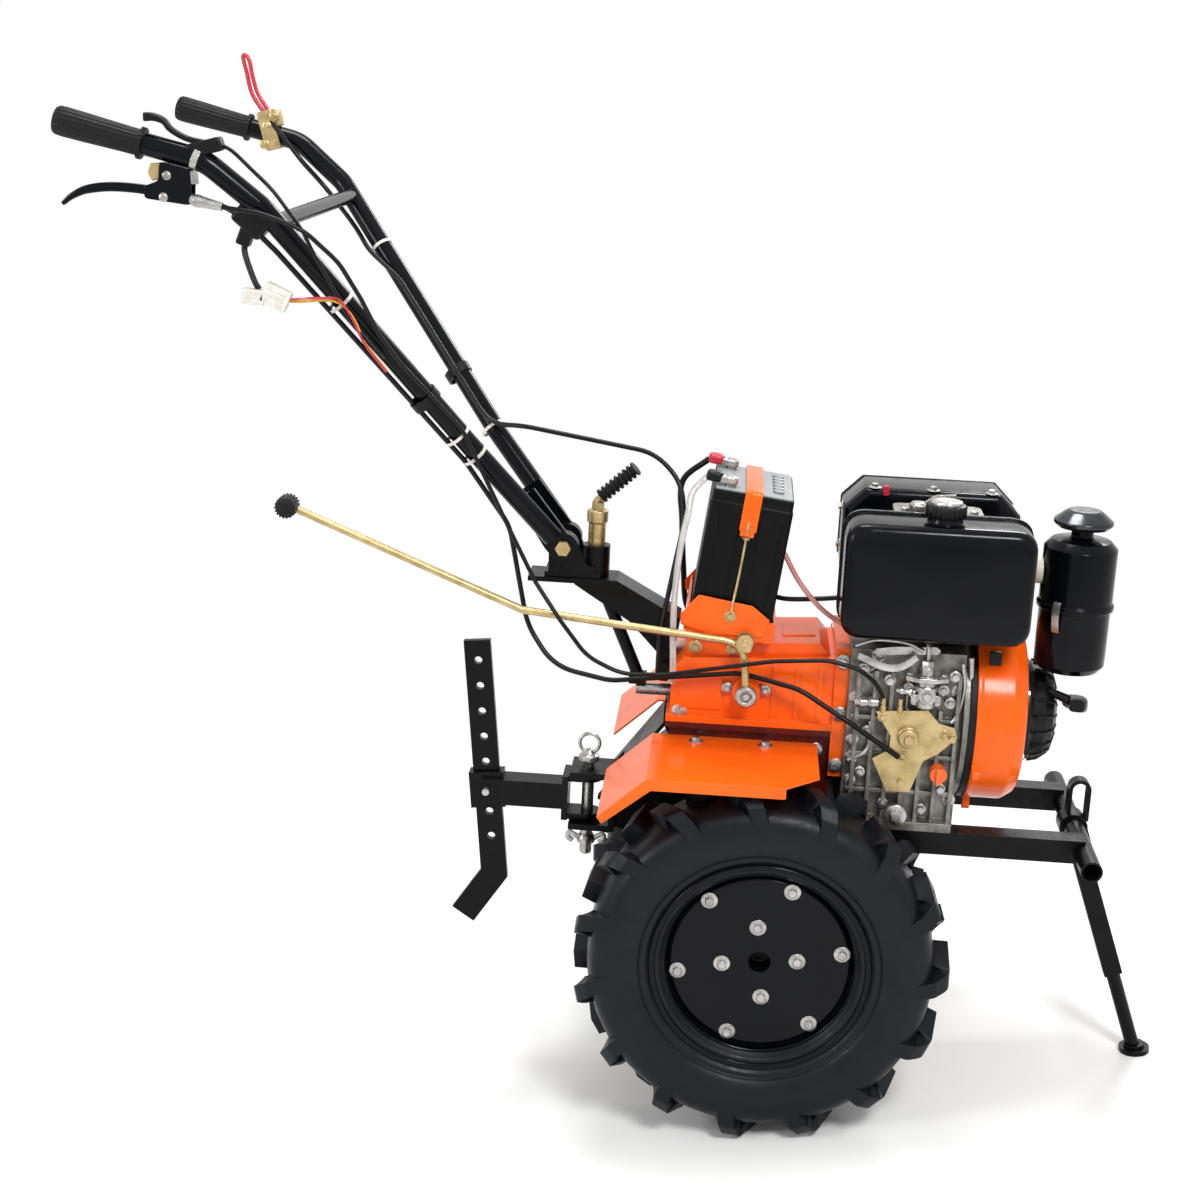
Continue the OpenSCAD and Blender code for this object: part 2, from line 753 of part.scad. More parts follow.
module air_filter() {
    color(BLACK) parked() translate([filter_x, filter_y, 553]) {
        difference() {
            union() {
                cylinder(h = 96, d = filter_d);
                translate([0, 0, 96]) cylinder(h = 12, d1 = filter_d, d2 = filter_d - 30);
                translate([0, 0, 108]) cylinder(h = 20, d = 34);
                translate([0, 0, 126]) cylinder(h = 14, d = 84);
                translate([0, 0, 140]) cylinder(h = 14, d1 = 92, d2 = 60);
                translate([0, 0, -4]) cylinder(h = 10, d = filter_d + 6);
            }
            translate([0, 0, -5]) cylinder(h = 98, d = filter_d - 6);
        }
    }
}

module filter_cup() {
    color(BLACK) parked() translate([filter_x, filter_y, 449]) difference() {
        union() {
            cylinder(h = 12, d1 = filter_d - 20, d2 = filter_d - 3);
            translate([0, 0, 12]) cylinder(h = 88, d = filter_d - 3);
        }
        translate([0, 0, 6]) cylinder(h = 96, d = filter_d - 12);
    }
}

module inlet_pipe() {
    z = 606;
    color(GREY) parked() difference() {
        union() {
            pipe([[294, 0, z], [352, 0, z], [392, filter_y, z], [filter_x - filter_d / 2 + 12, filter_y, z]],
                42, 26, 0, 20, 5);
            along(292.2, 300, 0, z, 60);
        }
        translate([filter_x, filter_y, z - 60]) cylinder(h = 120, d = filter_d + 0.2);
    }
}

// Frame, bumper and stand

module frame() {
    color(BLACK) parked() {
        for (s = [-1, 1]) translate([0, s * rail_y, rail_top - rail / 2]) difference() {
            block([60, -rail / 2, -rail / 2], [bumper_x, rail / 2, rail / 2]);
            block([59, -rail / 2 + 3, -rail / 2 + 3], [bumper_x + 1, rail / 2 - 3, rail / 2 - 3]);
            across(bumper_x, -rail, rail, bumper_h - rail_top + rail / 2, bumper_d);
        }
        slab(2 * rail_y - rail) polygon([
            [leg_front(rail_top - rail) + gap, rail_top - rail], [leg_front(rail_top - 4) + gap, rail_top - 4],
            [112, rail_top - 4], [112, rail_top - rail]
        ]);
    }
}

// The stand's frame: the leg runs down from the bumper tube's middle
module raked() {
    translate([bumper_x, 0, bumper_h]) rotate([0, -stand_rake, 0]) children();
}

module bumper() {
    y = sleeve_l / 2 + 4;
    color(BLACK) parked() {
        difference() {
            across(bumper_x, -bumper_w / 2, bumper_w / 2, bumper_h, bumper_d);
            across(bumper_x, -bumper_w / 2 - 1, bumper_w / 2 + 1, bumper_h, bumper_d - 6);
        }
        raked() {
            block([leg_side / 2 + gap, -y - 8, -70], [leg_side / 2 + 6, y + 8, -40]);
            for (s = [-1, 1]) difference() {
                block([-6, s * (y + 4) - 4, -70], [leg_side / 2 + 6, s * (y + 4) + 4, 0]);
                across(0, -80, 80, 0, bumper_d - 2);
            }
        }
    }
}

module stand_leg() {
    s = leg_side / 2;
    d = bumper_d + 12;
    color(BLACK) parked() {
        raked() difference() {
            union() {
                block([-s, -s, -leg_l + 150], [s, s, 0]);
                translate([0, 0, -leg_l + foot_h]) cylinder(h = 160, d = leg_side - 7);
                across(0, -sleeve_l / 2, sleeve_l / 2, 0, d);
            }
            block([-s + 2.5, -s + 2.5, -leg_l + 170], [s - 2.5, s - 2.5, -bumper_d / 2 - 30]);
            across(0, -sleeve_l, sleeve_l, 0, bumper_d + 2 * play);
        }
        translate([bumper_x + 6, 0, bumper_h]) difference() {
            union() {
                block([-18, -12, 10], [18, 12, 62]);
                across(0, -12, 12, 62, 36);
            }
            block([-12, -13, 0], [12, 13, 62]);
            across(0, -13, 13, 62, 24);
            across(-6, -13, 13, 0, d - 2);
        }
    }
}

module stand_foot() {
    color(BLACK) parked() difference() {
        translate(foot_at) rotate([0, -nose_down, 0]) {
            cylinder(h = foot_h, d = foot_d);
            cylinder(h = foot_h + 6, d = leg_side + 4);
        }
        raked() translate([0, 0, -leg_l + foot_h - 0.2]) cylinder(h = 60, d = leg_side - 6.8);
    }
}

// Wheels

// Tyre section: outside from the bead to the crown, and inside, on one half
tyre_out = [
    [bead_r, 32], [bead_r, flange_y - 0.5], [flange_r + 2, flange_y - 0.5], [flange_r + 14, tyre_w / 2 - 10],
    [flange_r + 36, tyre_w / 2], [tread_r - 24, tyre_w / 2 - 1], [tread_r - 7, tyre_w / 2 - 12],
    [tread_r, tyre_w / 2 - 40], [tread_r, 1]
];
tyre_in = [
    [bead_r + 8, 32], [flange_r - 4, 36], [flange_r + 12, tyre_w / 2 - 24], [flange_r + 36, tyre_w / 2 - 11],
    [tread_r - 30, tyre_w / 2 - 12], [tread_r - 18, tyre_w / 2 - 22], [tread_r - 12, 1]
];
function flipped(p) = [for (q = p) [q[0], -q[1]]];

// The lugs' section round one half of the tyre, rooted in the carcass and sloped at the shoulder
lug_ring = [
    [tread_r - 6, 3], [wheel_r, 3], [wheel_r, tyre_w / 2 - 12], [tread_r - 8, tyre_w / 2 - 2],
    [tread_r - 34, tyre_w / 2 - 2], [tread_r - 34, tyre_w / 2 - 6], [tread_r - 14, tyre_w / 2 - 14],
    [tread_r - 6, tyre_w / 2 - 40]
];

// Outline of one chevron lug, across the tread and along it
module lug() {
    half = lug_w / 2;
    run = tyre_w / 2;
    rotate([0, 90, 0]) translate([0, 0, tread_r - 60]) linear_extrude(height = lug_h + 70) polygon([
        [0, 28 + half], [0, 28 - half], [-run * 0.55, -4 - half], [-run, -20 - half],
        [-run, -20 + half], [-run * 0.55, -1 + half]
    ]);
}

module tyre(s) {
    translate([0, s * wheel_y, 0]) rotate([90, 0, 0]) {
        rotate_extrude() polygon(concat(
            tyre_out, reversed(flipped(tyre_out)), flipped(tyre_in), reversed(tyre_in)
        ));
        for (e = [0, 1]) rotate([0, 0, e * 180 / lug_count]) mirror([0, 0, e]) intersection() {
            rotate_extrude() polygon(lug_ring);
            for (i = [0:lug_count - 1]) rotate([0, 0, i * 360 / lug_count]) lug();
        }
    }
}

module rim(s) {
    translate([0, s * wheel_y, 0]) rotate([s * 90, 0, 0]) rotate_extrude() {
        translate([bead_r - 4, -flange_y]) square([4, 2 * flange_y]);
        for (e = [-1, 1]) translate([bead_r - 4, e * (flange_y + 2.5) - 2.5]) square([24, 5]);
        translate([bead_r - 42, -disc_y]) square([40, 6]);
    }
}

module hub(s) {
    out = wheel_y + disc_y;
    difference() {
        union() {
            across(0, min(s * out, s * (out + 6)), max(s * out, s * (out + 6)), 0, 2 * disc_r);
            across(0, min(s * (case_y + 8), s * (out + 4)), max(s * (case_y + 8), s * (out + 4)), 0, 54);
            across(0, min(s * (out - 8), s * (out + 2)), max(s * (out - 8), s * (out + 2)), 0, 150);
            across(0, min(s * 30, s * (out - 10)), max(s * 30, s * (out - 10)), 0, axle_d);
        }
        across(0, min(s * (out - 30), s * (out + 20)), max(s * (out - 30), s * (out + 20)), 0, 34);
    }
}

module right_tyre() {
    color(RUBBER) parked() tyre(-1);
}

module left_tyre() {
    color(RUBBER) parked() tyre(1);
}

module right_rim() {
    color(BLACK) parked() rim(-1);
}

module left_rim() {
    color(BLACK) parked() rim(1);
}

module right_hub() {
    color(BLACK) parked() hub(-1);
}

module left_hub() {
    color(BLACK) parked() hub(1);
}

// Handlebar

module swivel_head() {
    h = base_h + 0.5;
    color(BLACK) parked() difference() {
        union() {
            translate([post_x, 0, h]) cylinder(h = 50, d = post_d + 18);
            block([tilt_x - 30, -30, h], [post_x + 10, 30, h + 8]);
            for (s = [-1, 1]) {
                block([tilt_x - 20, min(s * 22, s * 30), h], [post_x, max(s * 22, s * 30), h + 20]);
                translate([0, s * 26, 0]) slab(8) polygon([
                    [tilt_x - 24, h], [tilt_x - 24, tilt_h], [tilt_x + 24, tilt_h], [post_x - 6, h + 8],
                    [post_x - 6, h]
                ]);
                across(tilt_x, min(s * 22, s * (ear_y - gap)), max(s * 22, s * (ear_y - gap)), tilt_h, 48);
            }
        }
        translate([post_x, 0, h - 1]) cylinder(h = 80, d = post_d + 2 * play);
        across(tilt_x, -60, 60, tilt_h, tilt_bolt_d);
    }
}

module tilt_bolt() {
    e = ear_y + ear_t + gap;
    color(STEEL) parked() {
        across(tilt_x, -e - 10, e + 10, tilt_h, tilt_bolt_d);
        across(tilt_x, -e - 10, -e, tilt_h, 25, $fn = 6);
        across(tilt_x, e, e + 12, tilt_h, 25, $fn = 6);
    }
}

// One handle: the ear on the tilt bolt and the bent tube
module handle(s) {
    pipe(s > 0 ? tube_path : mirrored(tube_path), tube_d, 70, tube_d - 2 * tube_wall, 16, 5);
    difference() {
        translate([0, s * (ear_y + ear_t / 2), 0]) slab(ear_t) union() {
            translate([tilt_x, tilt_h]) circle(24);
            polygon([
                [tilt_x + 16, tilt_h + 18], [tilt_x - 24, tilt_h - 4], [tilt_x - 78, tilt_h + 70],
                [tilt_x - 52, tilt_h + 92]
            ]);
        }
        across(tilt_x, -100, 100, tilt_h, tilt_bolt_d + 2 * play);
    }
}

module handlebar() {
    color(BLACK) parked() {
        for (s = [-1, 1]) handle(s);
        rod([cross_at[0], -cross_at[1] + tube_d / 2 - 2, cross_at[2]],
            [cross_at[0], cross_at[1] - tube_d / 2 + 2, cross_at[2]], 24);
    }
}

module grip(s) {
    path = s > 0 ? tube_path : mirrored(tube_path);
    d = unit(path[4] - path[3]);
    rod(path[4] - (grip_l - 6) * d, path[4] + 6 * d, grip_d);
    rod(path[4] - grip_l * d, path[4] - (grip_l - 8) * d, grip_d + 8);
}

module right_grip() {
    color(RUBBER) parked() difference() {
        grip(-1);
        pipe(mirrored(tube_path), tube_d, 70, 0, 16, 5);
    }
}

module left_grip() {
    color(RUBBER) parked() difference() {
        grip(1);
        pipe(tube_path, tube_d, 70, 0, 16, 5);
    }
}

// What is clamped to a handle tube, cut to sit on it
module on_tube(s) {
    difference() {
        children();
        pipe(s > 0 ? tube_path : mirrored(tube_path), tube_d + 0.2, 70, 0, 16, 5);
    }
}

// Blade between a, b and c: a parabola in side view, h thick at a and h2 from halfway on
function bend_at(a, b, c, t) = (1 - t) * (1 - t) * a + 2 * t * (1 - t) * b + t * t * c;
module blade(a, b, c, h, h2) {
    steps = [for (i = [0:8]) i / 8];
    function half(t) = (h + (h2 - h) * min(1, 2 * t)) / 2;
    polygon(concat(
        [for (t = steps) bend_at(a, b, c, t) + [0, half(t)]],
        [for (t = reversed(steps)) bend_at(a, b, c, t) - [0, half(t)]]
    ));
}

// Clutch lever: a folded bracket under the handle, its pin and the blade on it
module clutch_lever() {
    a = side_of(beside(right_path[3], right_path[4], 0.08, tube_d / 2 + gap, DOWN));
    b = side_of(beside(right_path[3], right_path[4], 0.29, tube_d / 2 + gap, DOWN));
    p = side_of(clutch_pivot);
    fold = 3 * [0, -1];
    past = 40 * unit(b - a);
    color(BLACK) parked() translate([0, -grip_y, 0]) {
        slab(12) {
            blade(side_of(clutch_tip), p + [-106, 28], p, clutch_d, 15);
            translate(side_of(clutch_tip)) circle(d = clutch_d);
        }
        across(p[0], -16, 16, p[1], 9);
        difference() {
            slab(26) polygon([p + [-28, -6], p + [bracket_x, -12], a, b]);
            slab(20) polygon([a + fold - past, b + fold + past, b + past - [0, 90], a - past - [0, 90]]);
        }
        slab(24) polygon([
            p + [bracket_x - 4, -11.6], p + [bracket_x, -12], a + fold / 2, a + fold / 2 - [4, 0]
        ]);
    }
}

// Throttle lever: a clamp on the left handle and a wire loop, drawn from the clamp's middle
throttle_loop = [[-8, 7], [-26, 27], [-52, 94], [-39, 101], [-14, 33], [1, 11]];

module throttle_lever() {
    p = throttle_at;
    color(RED) parked() {
        pipe([for (q = throttle_loop) p + [q[0], 0, q[1]]], 6, 6);
        on_tube(1) across(p[0], p[1] - throttle_w / 2, p[1] + throttle_w / 2, p[2], 30);
    }
}

// Upper lever: a flat blade on a clamp on the right handle
module upper_lever() {
    p = beside(right_path[3], right_path[4], 0, 16, -DOWN);
    color(BLACK) parked() on_tube(-1) translate([0, p[1], 0]) {
        slab(14) blade(side_of(p) + [-83, 40], side_of(p) + [-38, 40], side_of(p) + [2, 6], 5, 6);
        across(p[0], -10, 10, p[2], 26);
    }
}

// Control cables: clipped along the handles, over the two handlebar joints, and along the engine

module cable(p, i, j) {
    pipe(stretch(p, i, j), cable_d, 24, 0, 8, 3);
}

module handle_cables() {
    color(RUBBER) parked() {
        cable(cable_a, -1, cuts_a[0]);
        cable(cable_b, -1, cuts_b[0]);
    }
}

module upper_cables() {
    color(RUBBER) parked() {
        cable(cable_a, cuts_a[0], cuts_a[1]);
        cable(cable_b, cuts_b[0], cuts_b[1]);
    }
}

module lower_cables() {
    color(RUBBER) parked() {
        cable(cable_a, cuts_a[1], cuts_a[2]);
        cable(cable_b, cuts_b[1], cuts_b[2]);
    }
}

module engine_cables() {
    color(RUBBER) parked() {
        cable(cable_a, cuts_a[2], len(cable_a));
        cable(cable_b, cuts_b[2], len(cable_b));
    }
}

// Hitch

// Frame along the depth bar, from its top
module barred() {
    translate(bar_top) rotate([0, -bar_lean, 0]) children();
}

module drawbar() {
    x = bar_top[0] + (bar_top[2] - draw_h) * tan(bar_lean);
    color(BLACK) parked() difference() {
        union() {
            block([pin_x - 41, -30, hitch_low + plate_t + 2], [pin_x - 31, 30, hitch_high - plate_t - 2]);
            for (z = [hitch_low + plate_t + 2, hitch_high - plate_t - 12])
                translate([pin_x, 0, z]) {
                    cylinder(h = 10, d = 48);
                    translate([-40, -24, 0]) cube([40, 48, 10]);
                }
            block([x - 8, -22, draw_h - 22], [pin_x - 40, 22, draw_h + 22]);
            translate([x, 0, draw_h]) rotate([0, -bar_lean, 0])
                cube([bar_w + 14, bar_t + 16, 62], center = true);
        }
        translate([pin_x, 0, 0]) cylinder(h = 400, d = pin_d + 2 * play);
        translate([x, 0, draw_h]) rotate([0, -bar_lean, 0])
            cube([bar_w + 0.4, bar_t + 0.4, 100], center = true);
        block([x + bar_w / 2 + 8, -18, draw_h - 18], [pin_x - 41, 18, draw_h + 18]);
        barred() across(0, -60, 60, -pinned_drop, hole_d);
    }
}

module depth_bar() {
    l = norm(bar_bend - bar_top);
    toe = norm(bar_tip - bar_bend);
    kick = bar_lean - atan2(bar_tip[0] - bar_bend[0], bar_bend[2] - bar_tip[2]);
    miter = bar_w / 2 * tan(kick / 2);
    w = bar_w / 2;
    color(BLACK) parked() barred() difference() {
        slab(bar_t) polygon([
            [-w, 0], [w, 0], [w, -l - miter], [w * cos(kick) - toe * sin(kick), -l - w * sin(kick) - toe * cos(kick)],
            [-w * cos(kick) - toe * sin(kick), -l + w * sin(kick) - toe * cos(kick)], [-w, -l + miter]
        ]);
        for (i = [0:7]) across(0, -bar_t, bar_t, -first_hole - i * hole_pitch, hole_d);
    }
}

module lock_pin() {
    color(STEEL) parked() barred() across(0, -34, 30, -pinned_drop, hole_d - 1);
}

gearbox_upper();
gearbox_lower();
gearbox_cover();
clutch_housing();
gear_lever();
gear_knob();
rear_shaft();
right_fender();
left_fender();
rear_guard();
hitch_bracket();
hitch_pin();
handle_arm();
clamp_post();
battery_tray();
battery();
battery_clamp();
crankcase();
cylinder_block();
valve_cover();
control_plate();
injection_pump();
oil_cap();
fan_housing();
recoil_starter();
recoil_handle();
fuel_tank();
fuel_cap();
muffler();
air_filter();
filter_cup();
inlet_pipe();
frame();
bumper();
engine_cables();
right_tyre();
right_rim();
right_hub();
left_tyre();
left_rim();
left_hub();
stand_leg();
stand_foot();
swivel_head();
tilt_bolt();
lower_cables();
handlebar();
right_grip();
left_grip();
clutch_lever();
throttle_lever();
upper_lever();
handle_cables();
upper_cables();
drawbar();
depth_bar();
lock_pin();
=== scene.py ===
"""Looks of the walking tractor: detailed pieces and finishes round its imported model.

Sizes are millimetres in the machine's own frame, with the origin on the wheel axle, X forward,
Y to the machine's left and Z up. parked() turns them into the frame's metres.
"""
import logging
import math
from dataclasses import dataclass, field
from enum import Enum

import bmesh
import bpy
import numpy as np
from mathutils import Matrix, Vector
from numpy.typing import ArrayLike


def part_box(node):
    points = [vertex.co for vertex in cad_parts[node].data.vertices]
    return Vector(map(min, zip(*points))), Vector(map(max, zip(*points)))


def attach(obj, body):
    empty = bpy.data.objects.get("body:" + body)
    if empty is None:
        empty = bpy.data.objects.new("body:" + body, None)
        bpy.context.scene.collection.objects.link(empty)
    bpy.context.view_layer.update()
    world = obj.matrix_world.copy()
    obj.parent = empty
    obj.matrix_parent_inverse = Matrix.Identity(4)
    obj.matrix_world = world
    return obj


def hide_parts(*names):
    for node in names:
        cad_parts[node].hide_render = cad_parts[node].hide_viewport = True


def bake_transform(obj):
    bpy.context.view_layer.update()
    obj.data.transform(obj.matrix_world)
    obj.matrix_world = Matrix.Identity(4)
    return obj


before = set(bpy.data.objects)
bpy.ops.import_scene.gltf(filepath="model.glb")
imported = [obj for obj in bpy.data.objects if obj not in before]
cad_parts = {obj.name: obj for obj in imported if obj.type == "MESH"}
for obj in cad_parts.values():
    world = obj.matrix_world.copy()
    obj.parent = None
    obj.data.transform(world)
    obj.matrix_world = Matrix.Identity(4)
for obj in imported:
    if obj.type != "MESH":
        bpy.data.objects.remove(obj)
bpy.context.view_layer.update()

LOG = logging.getLogger("tractor")
Array = np.ndarray
MM = 0.001
NOSE_DOWN = math.radians(6.0)
X, Y, Z = np.eye(3)
# The machine's right and left
SIDES = (-1, 1)
# Radius of a turned profile's end on its axis, and how close two points are taken as one
POLE = 0.1
MERGE = 0.004


def axle_point() -> Array:
    """World place of the wheel axle's middle, in metres, from the two tyres' boxes."""
    corners = np.array([list(c) for n in ("right_tyre", "left_tyre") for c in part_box(n)])
    return (corners.min(0) + corners.max(0)) / 2


AXLE = axle_point()


def pitched(points: ArrayLike, angle: float) -> Array:
    """Points turned about Y, so that X goes down by the angle.

    Args:
        points: Rows of X, Y, Z.
        angle: Turn in radians.

    Returns:
        The turned rows.
    """
    c, s = math.cos(angle), math.sin(angle)
    p = np.asarray(points, float)
    return np.stack([p[..., 0] * c + p[..., 2] * s, p[..., 1], p[..., 2] * c - p[..., 0] * s], -1)


def parked(points: ArrayLike) -> Array:
    """World metres of machine millimetres: turned about the axle, then carried to it."""
    return pitched(points, NOSE_DOWN) * MM + AXLE


# Curves and surfaces


def unit(v: ArrayLike) -> Array:
    """Rows of v scaled to length one."""
    v = np.asarray(v, float)
    return v / np.linalg.norm(v, axis=-1, keepdims=True)


def square_axes(axis: ArrayLike) -> tuple[Array, Array]:
    """Two unit vectors square to an axis and to each other.

    Args:
        axis: The axis.

    Returns:
        The pair, right-handed with the axis.
    """
    a = unit(axis)
    e = unit(np.cross(a, X if abs(a[0]) < 0.8 else Z))
    return e, np.cross(a, e)


def slant(degrees: float) -> Array:
    """Matrix that turns rows about Y."""
    c, s = math.cos(math.radians(degrees)), math.sin(math.radians(degrees))
    return np.array([[c, 0, s], [0, 1, 0], [-s, 0, c]]).T


def angles(count: int, start: float = 0.0) -> Array:
    """Even angles round a circle, from a start."""
    return start + 2 * math.pi * np.arange(count) / count


def lengths(line: Array) -> Array:
    """Distance along a line at each of its points."""
    return np.concatenate([[0], np.cumsum(np.linalg.norm(np.diff(line, axis=0), axis=1))])


def upright(points: ArrayLike, y: float) -> Array:
    """Side-view points (X, Z) stood in the plane at y."""
    p = np.asarray(points, float)
    return np.stack([p[:, 0], np.full(len(p), y), p[:, 1]], 1)


def rounded(points: ArrayLike, radius: float, steps: int = 6, closed: bool = False) -> Array:
    """A polyline with each corner replaced by a parabola tangent to its two sides.

    Args:
        points: Corners, in two or three dimensions.
        radius: Radius of the bend, cut down where the sides are short.
        steps: Spans to a corner.
        closed: Whether the last point joins the first.

    Returns:
        The points of the rounded line.
    """
    p = np.asarray(points, float)
    before, after = np.roll(p, 1, 0), np.roll(p, -1, 0)
    if not closed:
        before, after, mid = before[1:-1], after[1:-1], p[1:-1]
    else:
        mid = p
    u, v = unit(mid - before), unit(after - mid)
    half = np.arccos(np.clip((u * v).sum(-1), -1, 1)) / 2
    room = np.minimum(np.linalg.norm(mid - before, axis=-1), np.linalg.norm(after - mid, axis=-1))
    cut = np.minimum(radius * np.tan(half), 0.49 * room)[:, None]
    t = np.linspace(0, 1, steps + 1)[:, None]
    a, b = mid - cut * u, mid + cut * v
    arcs = (1 - t) ** 2 * a[:, None] + 2 * t * (1 - t) * mid[:, None] + t ** 2 * b[:, None]
    arcs = arcs.reshape(-1, p.shape[1])
    return arcs if closed else np.concatenate([p[:1], arcs, p[-1:]])


def outline(points: ArrayLike, radius: float, steps: int = 3) -> Array:
    """A closed outline with rounded corners."""
    return rounded(points, radius, steps, True)


def spline(points: ArrayLike, per: int = 8) -> Array:
    """Catmull-Rom curve through points: each span is a cubic set by four neighbours.

    Args:
        points: Points to pass through.
        per: Samples to a span.

    Returns:
        The curve's points.
    """
    p = np.asarray(points, float)
    p = np.concatenate([2 * p[:1] - p[1:2], p, 2 * p[-1:] - p[-2:-1]])
    t = np.linspace(0, 1, per, endpoint=False)
    basis = 0.5 * np.stack([-t + 2 * t**2 - t**3, 2 - 5 * t**2 + 3 * t**3,
                            t + 4 * t**2 - 3 * t**3, t**3 - t**2], 1)
    spans = np.lib.stride_tricks.sliding_window_view(p, 4, axis=0)
    curve = np.einsum("kc,sdc->skd", basis, spans).reshape(-1, p.shape[1])
    return np.concatenate([curve, p[-2:-1]])


def circle(radius: float, count: int = 16) -> Array:
    """Points of a circle in the plane."""
    a = np.linspace(0, 2 * math.pi, count, endpoint=False)
    return radius * np.stack([np.cos(a), np.sin(a)], 1)


def rect(width: float, height: float) -> Array:
    """Corners of a centred rectangle."""
    return np.array([[-1, -1], [1, -1], [1, 1], [-1, 1]]) * [width / 2, height / 2]


def soft_rect(width: float, height: float, radius: float, steps: int = 3) -> Array:
    """A centred rectangle with rounded corners."""
    return outline(rect(width, height), radius, steps)


def fluted(radius: float, depth: float, flutes: int) -> Array:
    """A circle whose radius falls by depth in each flute: r - depth * sin(n a / 2)^2.

    Args:
        radius: Outer radius.
        depth: Depth of a flute.
        flutes: Number of flutes, with eight points to each.

    Returns:
        The section's points.
    """
    a = np.linspace(0, 2 * math.pi, 8 * flutes, endpoint=False)
    r = radius - depth * np.sin(flutes * a / 2) ** 2
    return np.stack([r * np.cos(a), r * np.sin(a)], 1)


def stack(section: Array, sizes: ArrayLike, heights: ArrayLike, origin: Array, axis: Array,
          across: tuple[Array, Array]) -> Array:
    """A section repeated along an axis: origin + height * axis + size * section.

    Args:
        section: Points of the section in the plane.
        sizes: Size of the section at each height.
        heights: Places along the axis.
        origin: Point on the axis.
        axis: Direction of the axis.
        across: Directions of the section's own two axes.

    Returns:
        Grid of points, height by section.
    """
    ring = section[:, :1] * across[0] + section[:, 1:] * across[1]
    h, k = (np.asarray(v, float)[:, None, None] for v in (heights, sizes))
    return origin + h * axis + k * ring


def revolve(profile: ArrayLike, origin: ArrayLike, axis: ArrayLike, segments: int = 64) -> Array:
    """Surface of revolution: origin + height * axis + radius * (cos a, sin a).

    Args:
        profile: Rows of radius and height.
        origin: Point on the axis.
        axis: Direction of the axis.
        segments: Steps round it.

    Returns:
        Grid of points, profile by angle.
    """
    p = np.asarray(profile, float)
    e1, e2 = square_axes(axis)
    ring = circle(1, segments)
    around = ring[:, :1] * e1 + ring[:, 1:] * e2
    return np.asarray(origin, float) + p[:, None, 1:2] * unit(axis) + p[:, None, :1] * around


def sweep(path: ArrayLike, section: Array, up: Array = Z, scale: ArrayLike = 1.0,
          loop: bool = False) -> Array:
    """A section carried along a path, its first axis held towards up.

    Args:
        path: Points of the path.
        section: Points of the section in the plane.
        up: Direction that the section's first axis keeps to.
        scale: Size of the section, for all points or for each point of the path.
        loop: Whether the path closes on itself.

    Returns:
        Grid of points, path by section.
    """
    p = np.asarray(path, float)
    t = unit(np.roll(p, -1, 0) - np.roll(p, 1, 0)) if loop else unit(np.gradient(p, axis=0))
    n = unit(up - (t @ np.asarray(up, float))[:, None] * t)
    b = np.cross(t, n)
    k = np.broadcast_to(np.asarray(scale, float), (len(p),))[:, None, None]
    return p[:, None] + k * (section[None, :, :1] * n[:, None] + section[None, :, 1:] * b[:, None])


def pillow(edge_line: ArrayLike, depth: float, edge: float, dome: float = 0.0, steps: int = 5) -> Array:
    """A slab with rounded rims: the outline shrinks on a quarter circle at each rim, then to a pole.

    Args:
        edge_line: Outline round the origin.
        depth: Thickness of the slab.
        edge: Radius of the rims.
        dome: Rise of each face at its middle.
        steps: Spans on each rim.

    Returns:
        Grid of points, station by outline, with the depth on the second axis.
    """
    o = np.asarray(edge_line, float)
    reach = np.abs(o).max(0)
    a = np.linspace(0, math.pi / 2, steps + 1)
    inset = edge * (1 - np.sin(a))
    face = np.array([0.0, 0.35, 0.7])
    near = np.concatenate([face, np.ones(steps + 1)])
    drop = np.concatenate([np.full(len(face), edge), inset])
    height = np.concatenate([dome * (1 - face**2), -edge * (1 - np.cos(a))]) + depth / 2
    size = near[:, None] * (1 - drop[:, None] / reach)
    half = o[None] * size[:, None]
    grid = np.stack([half[..., 0], np.broadcast_to(height[:, None], half.shape[:2]), half[..., 1]], -1)
    return np.concatenate([grid, (grid * [1, -1, 1])[::-1]])


class Facing(Enum):
    """Which way a slab's thickness runs, as the order of its three axes."""

    ALONG_X = (1, 0, 2)
    ALONG_Y = (0, 1, 2)
    ALONG_Z = (0, 2, 1)

    def lay(self, grid: Array) -> Array:
        """The pillow's grid with its thickness laid this way."""
        return grid[..., list(self.value)]


def slab(width: float, height: float, depth: float, corner: float, edge: float, steps: int = 3,
         dome: float = 0.0, facing: Facing = Facing.ALONG_Y, tilt: float = 0.0) -> Array:
    """A rounded block round the origin: a pillow on a rectangle with soft corners.

    Args:
        width: Size along the outline's first axis.
        height: Size along its second axis.
        depth: Thickness.
        corner: Radius of the outline's corners.
        edge: Radius of the rims.
        steps: Spans to a corner.
        dome: Rise of each face at its middle.
        facing: Way that the thickness runs.
        tilt: Turn about Y in degrees.

    Returns:
        Grid of points.
    """
    return facing.lay(pillow(soft_rect(width, height, corner, steps), depth, edge, dome)) @ slant(tilt)


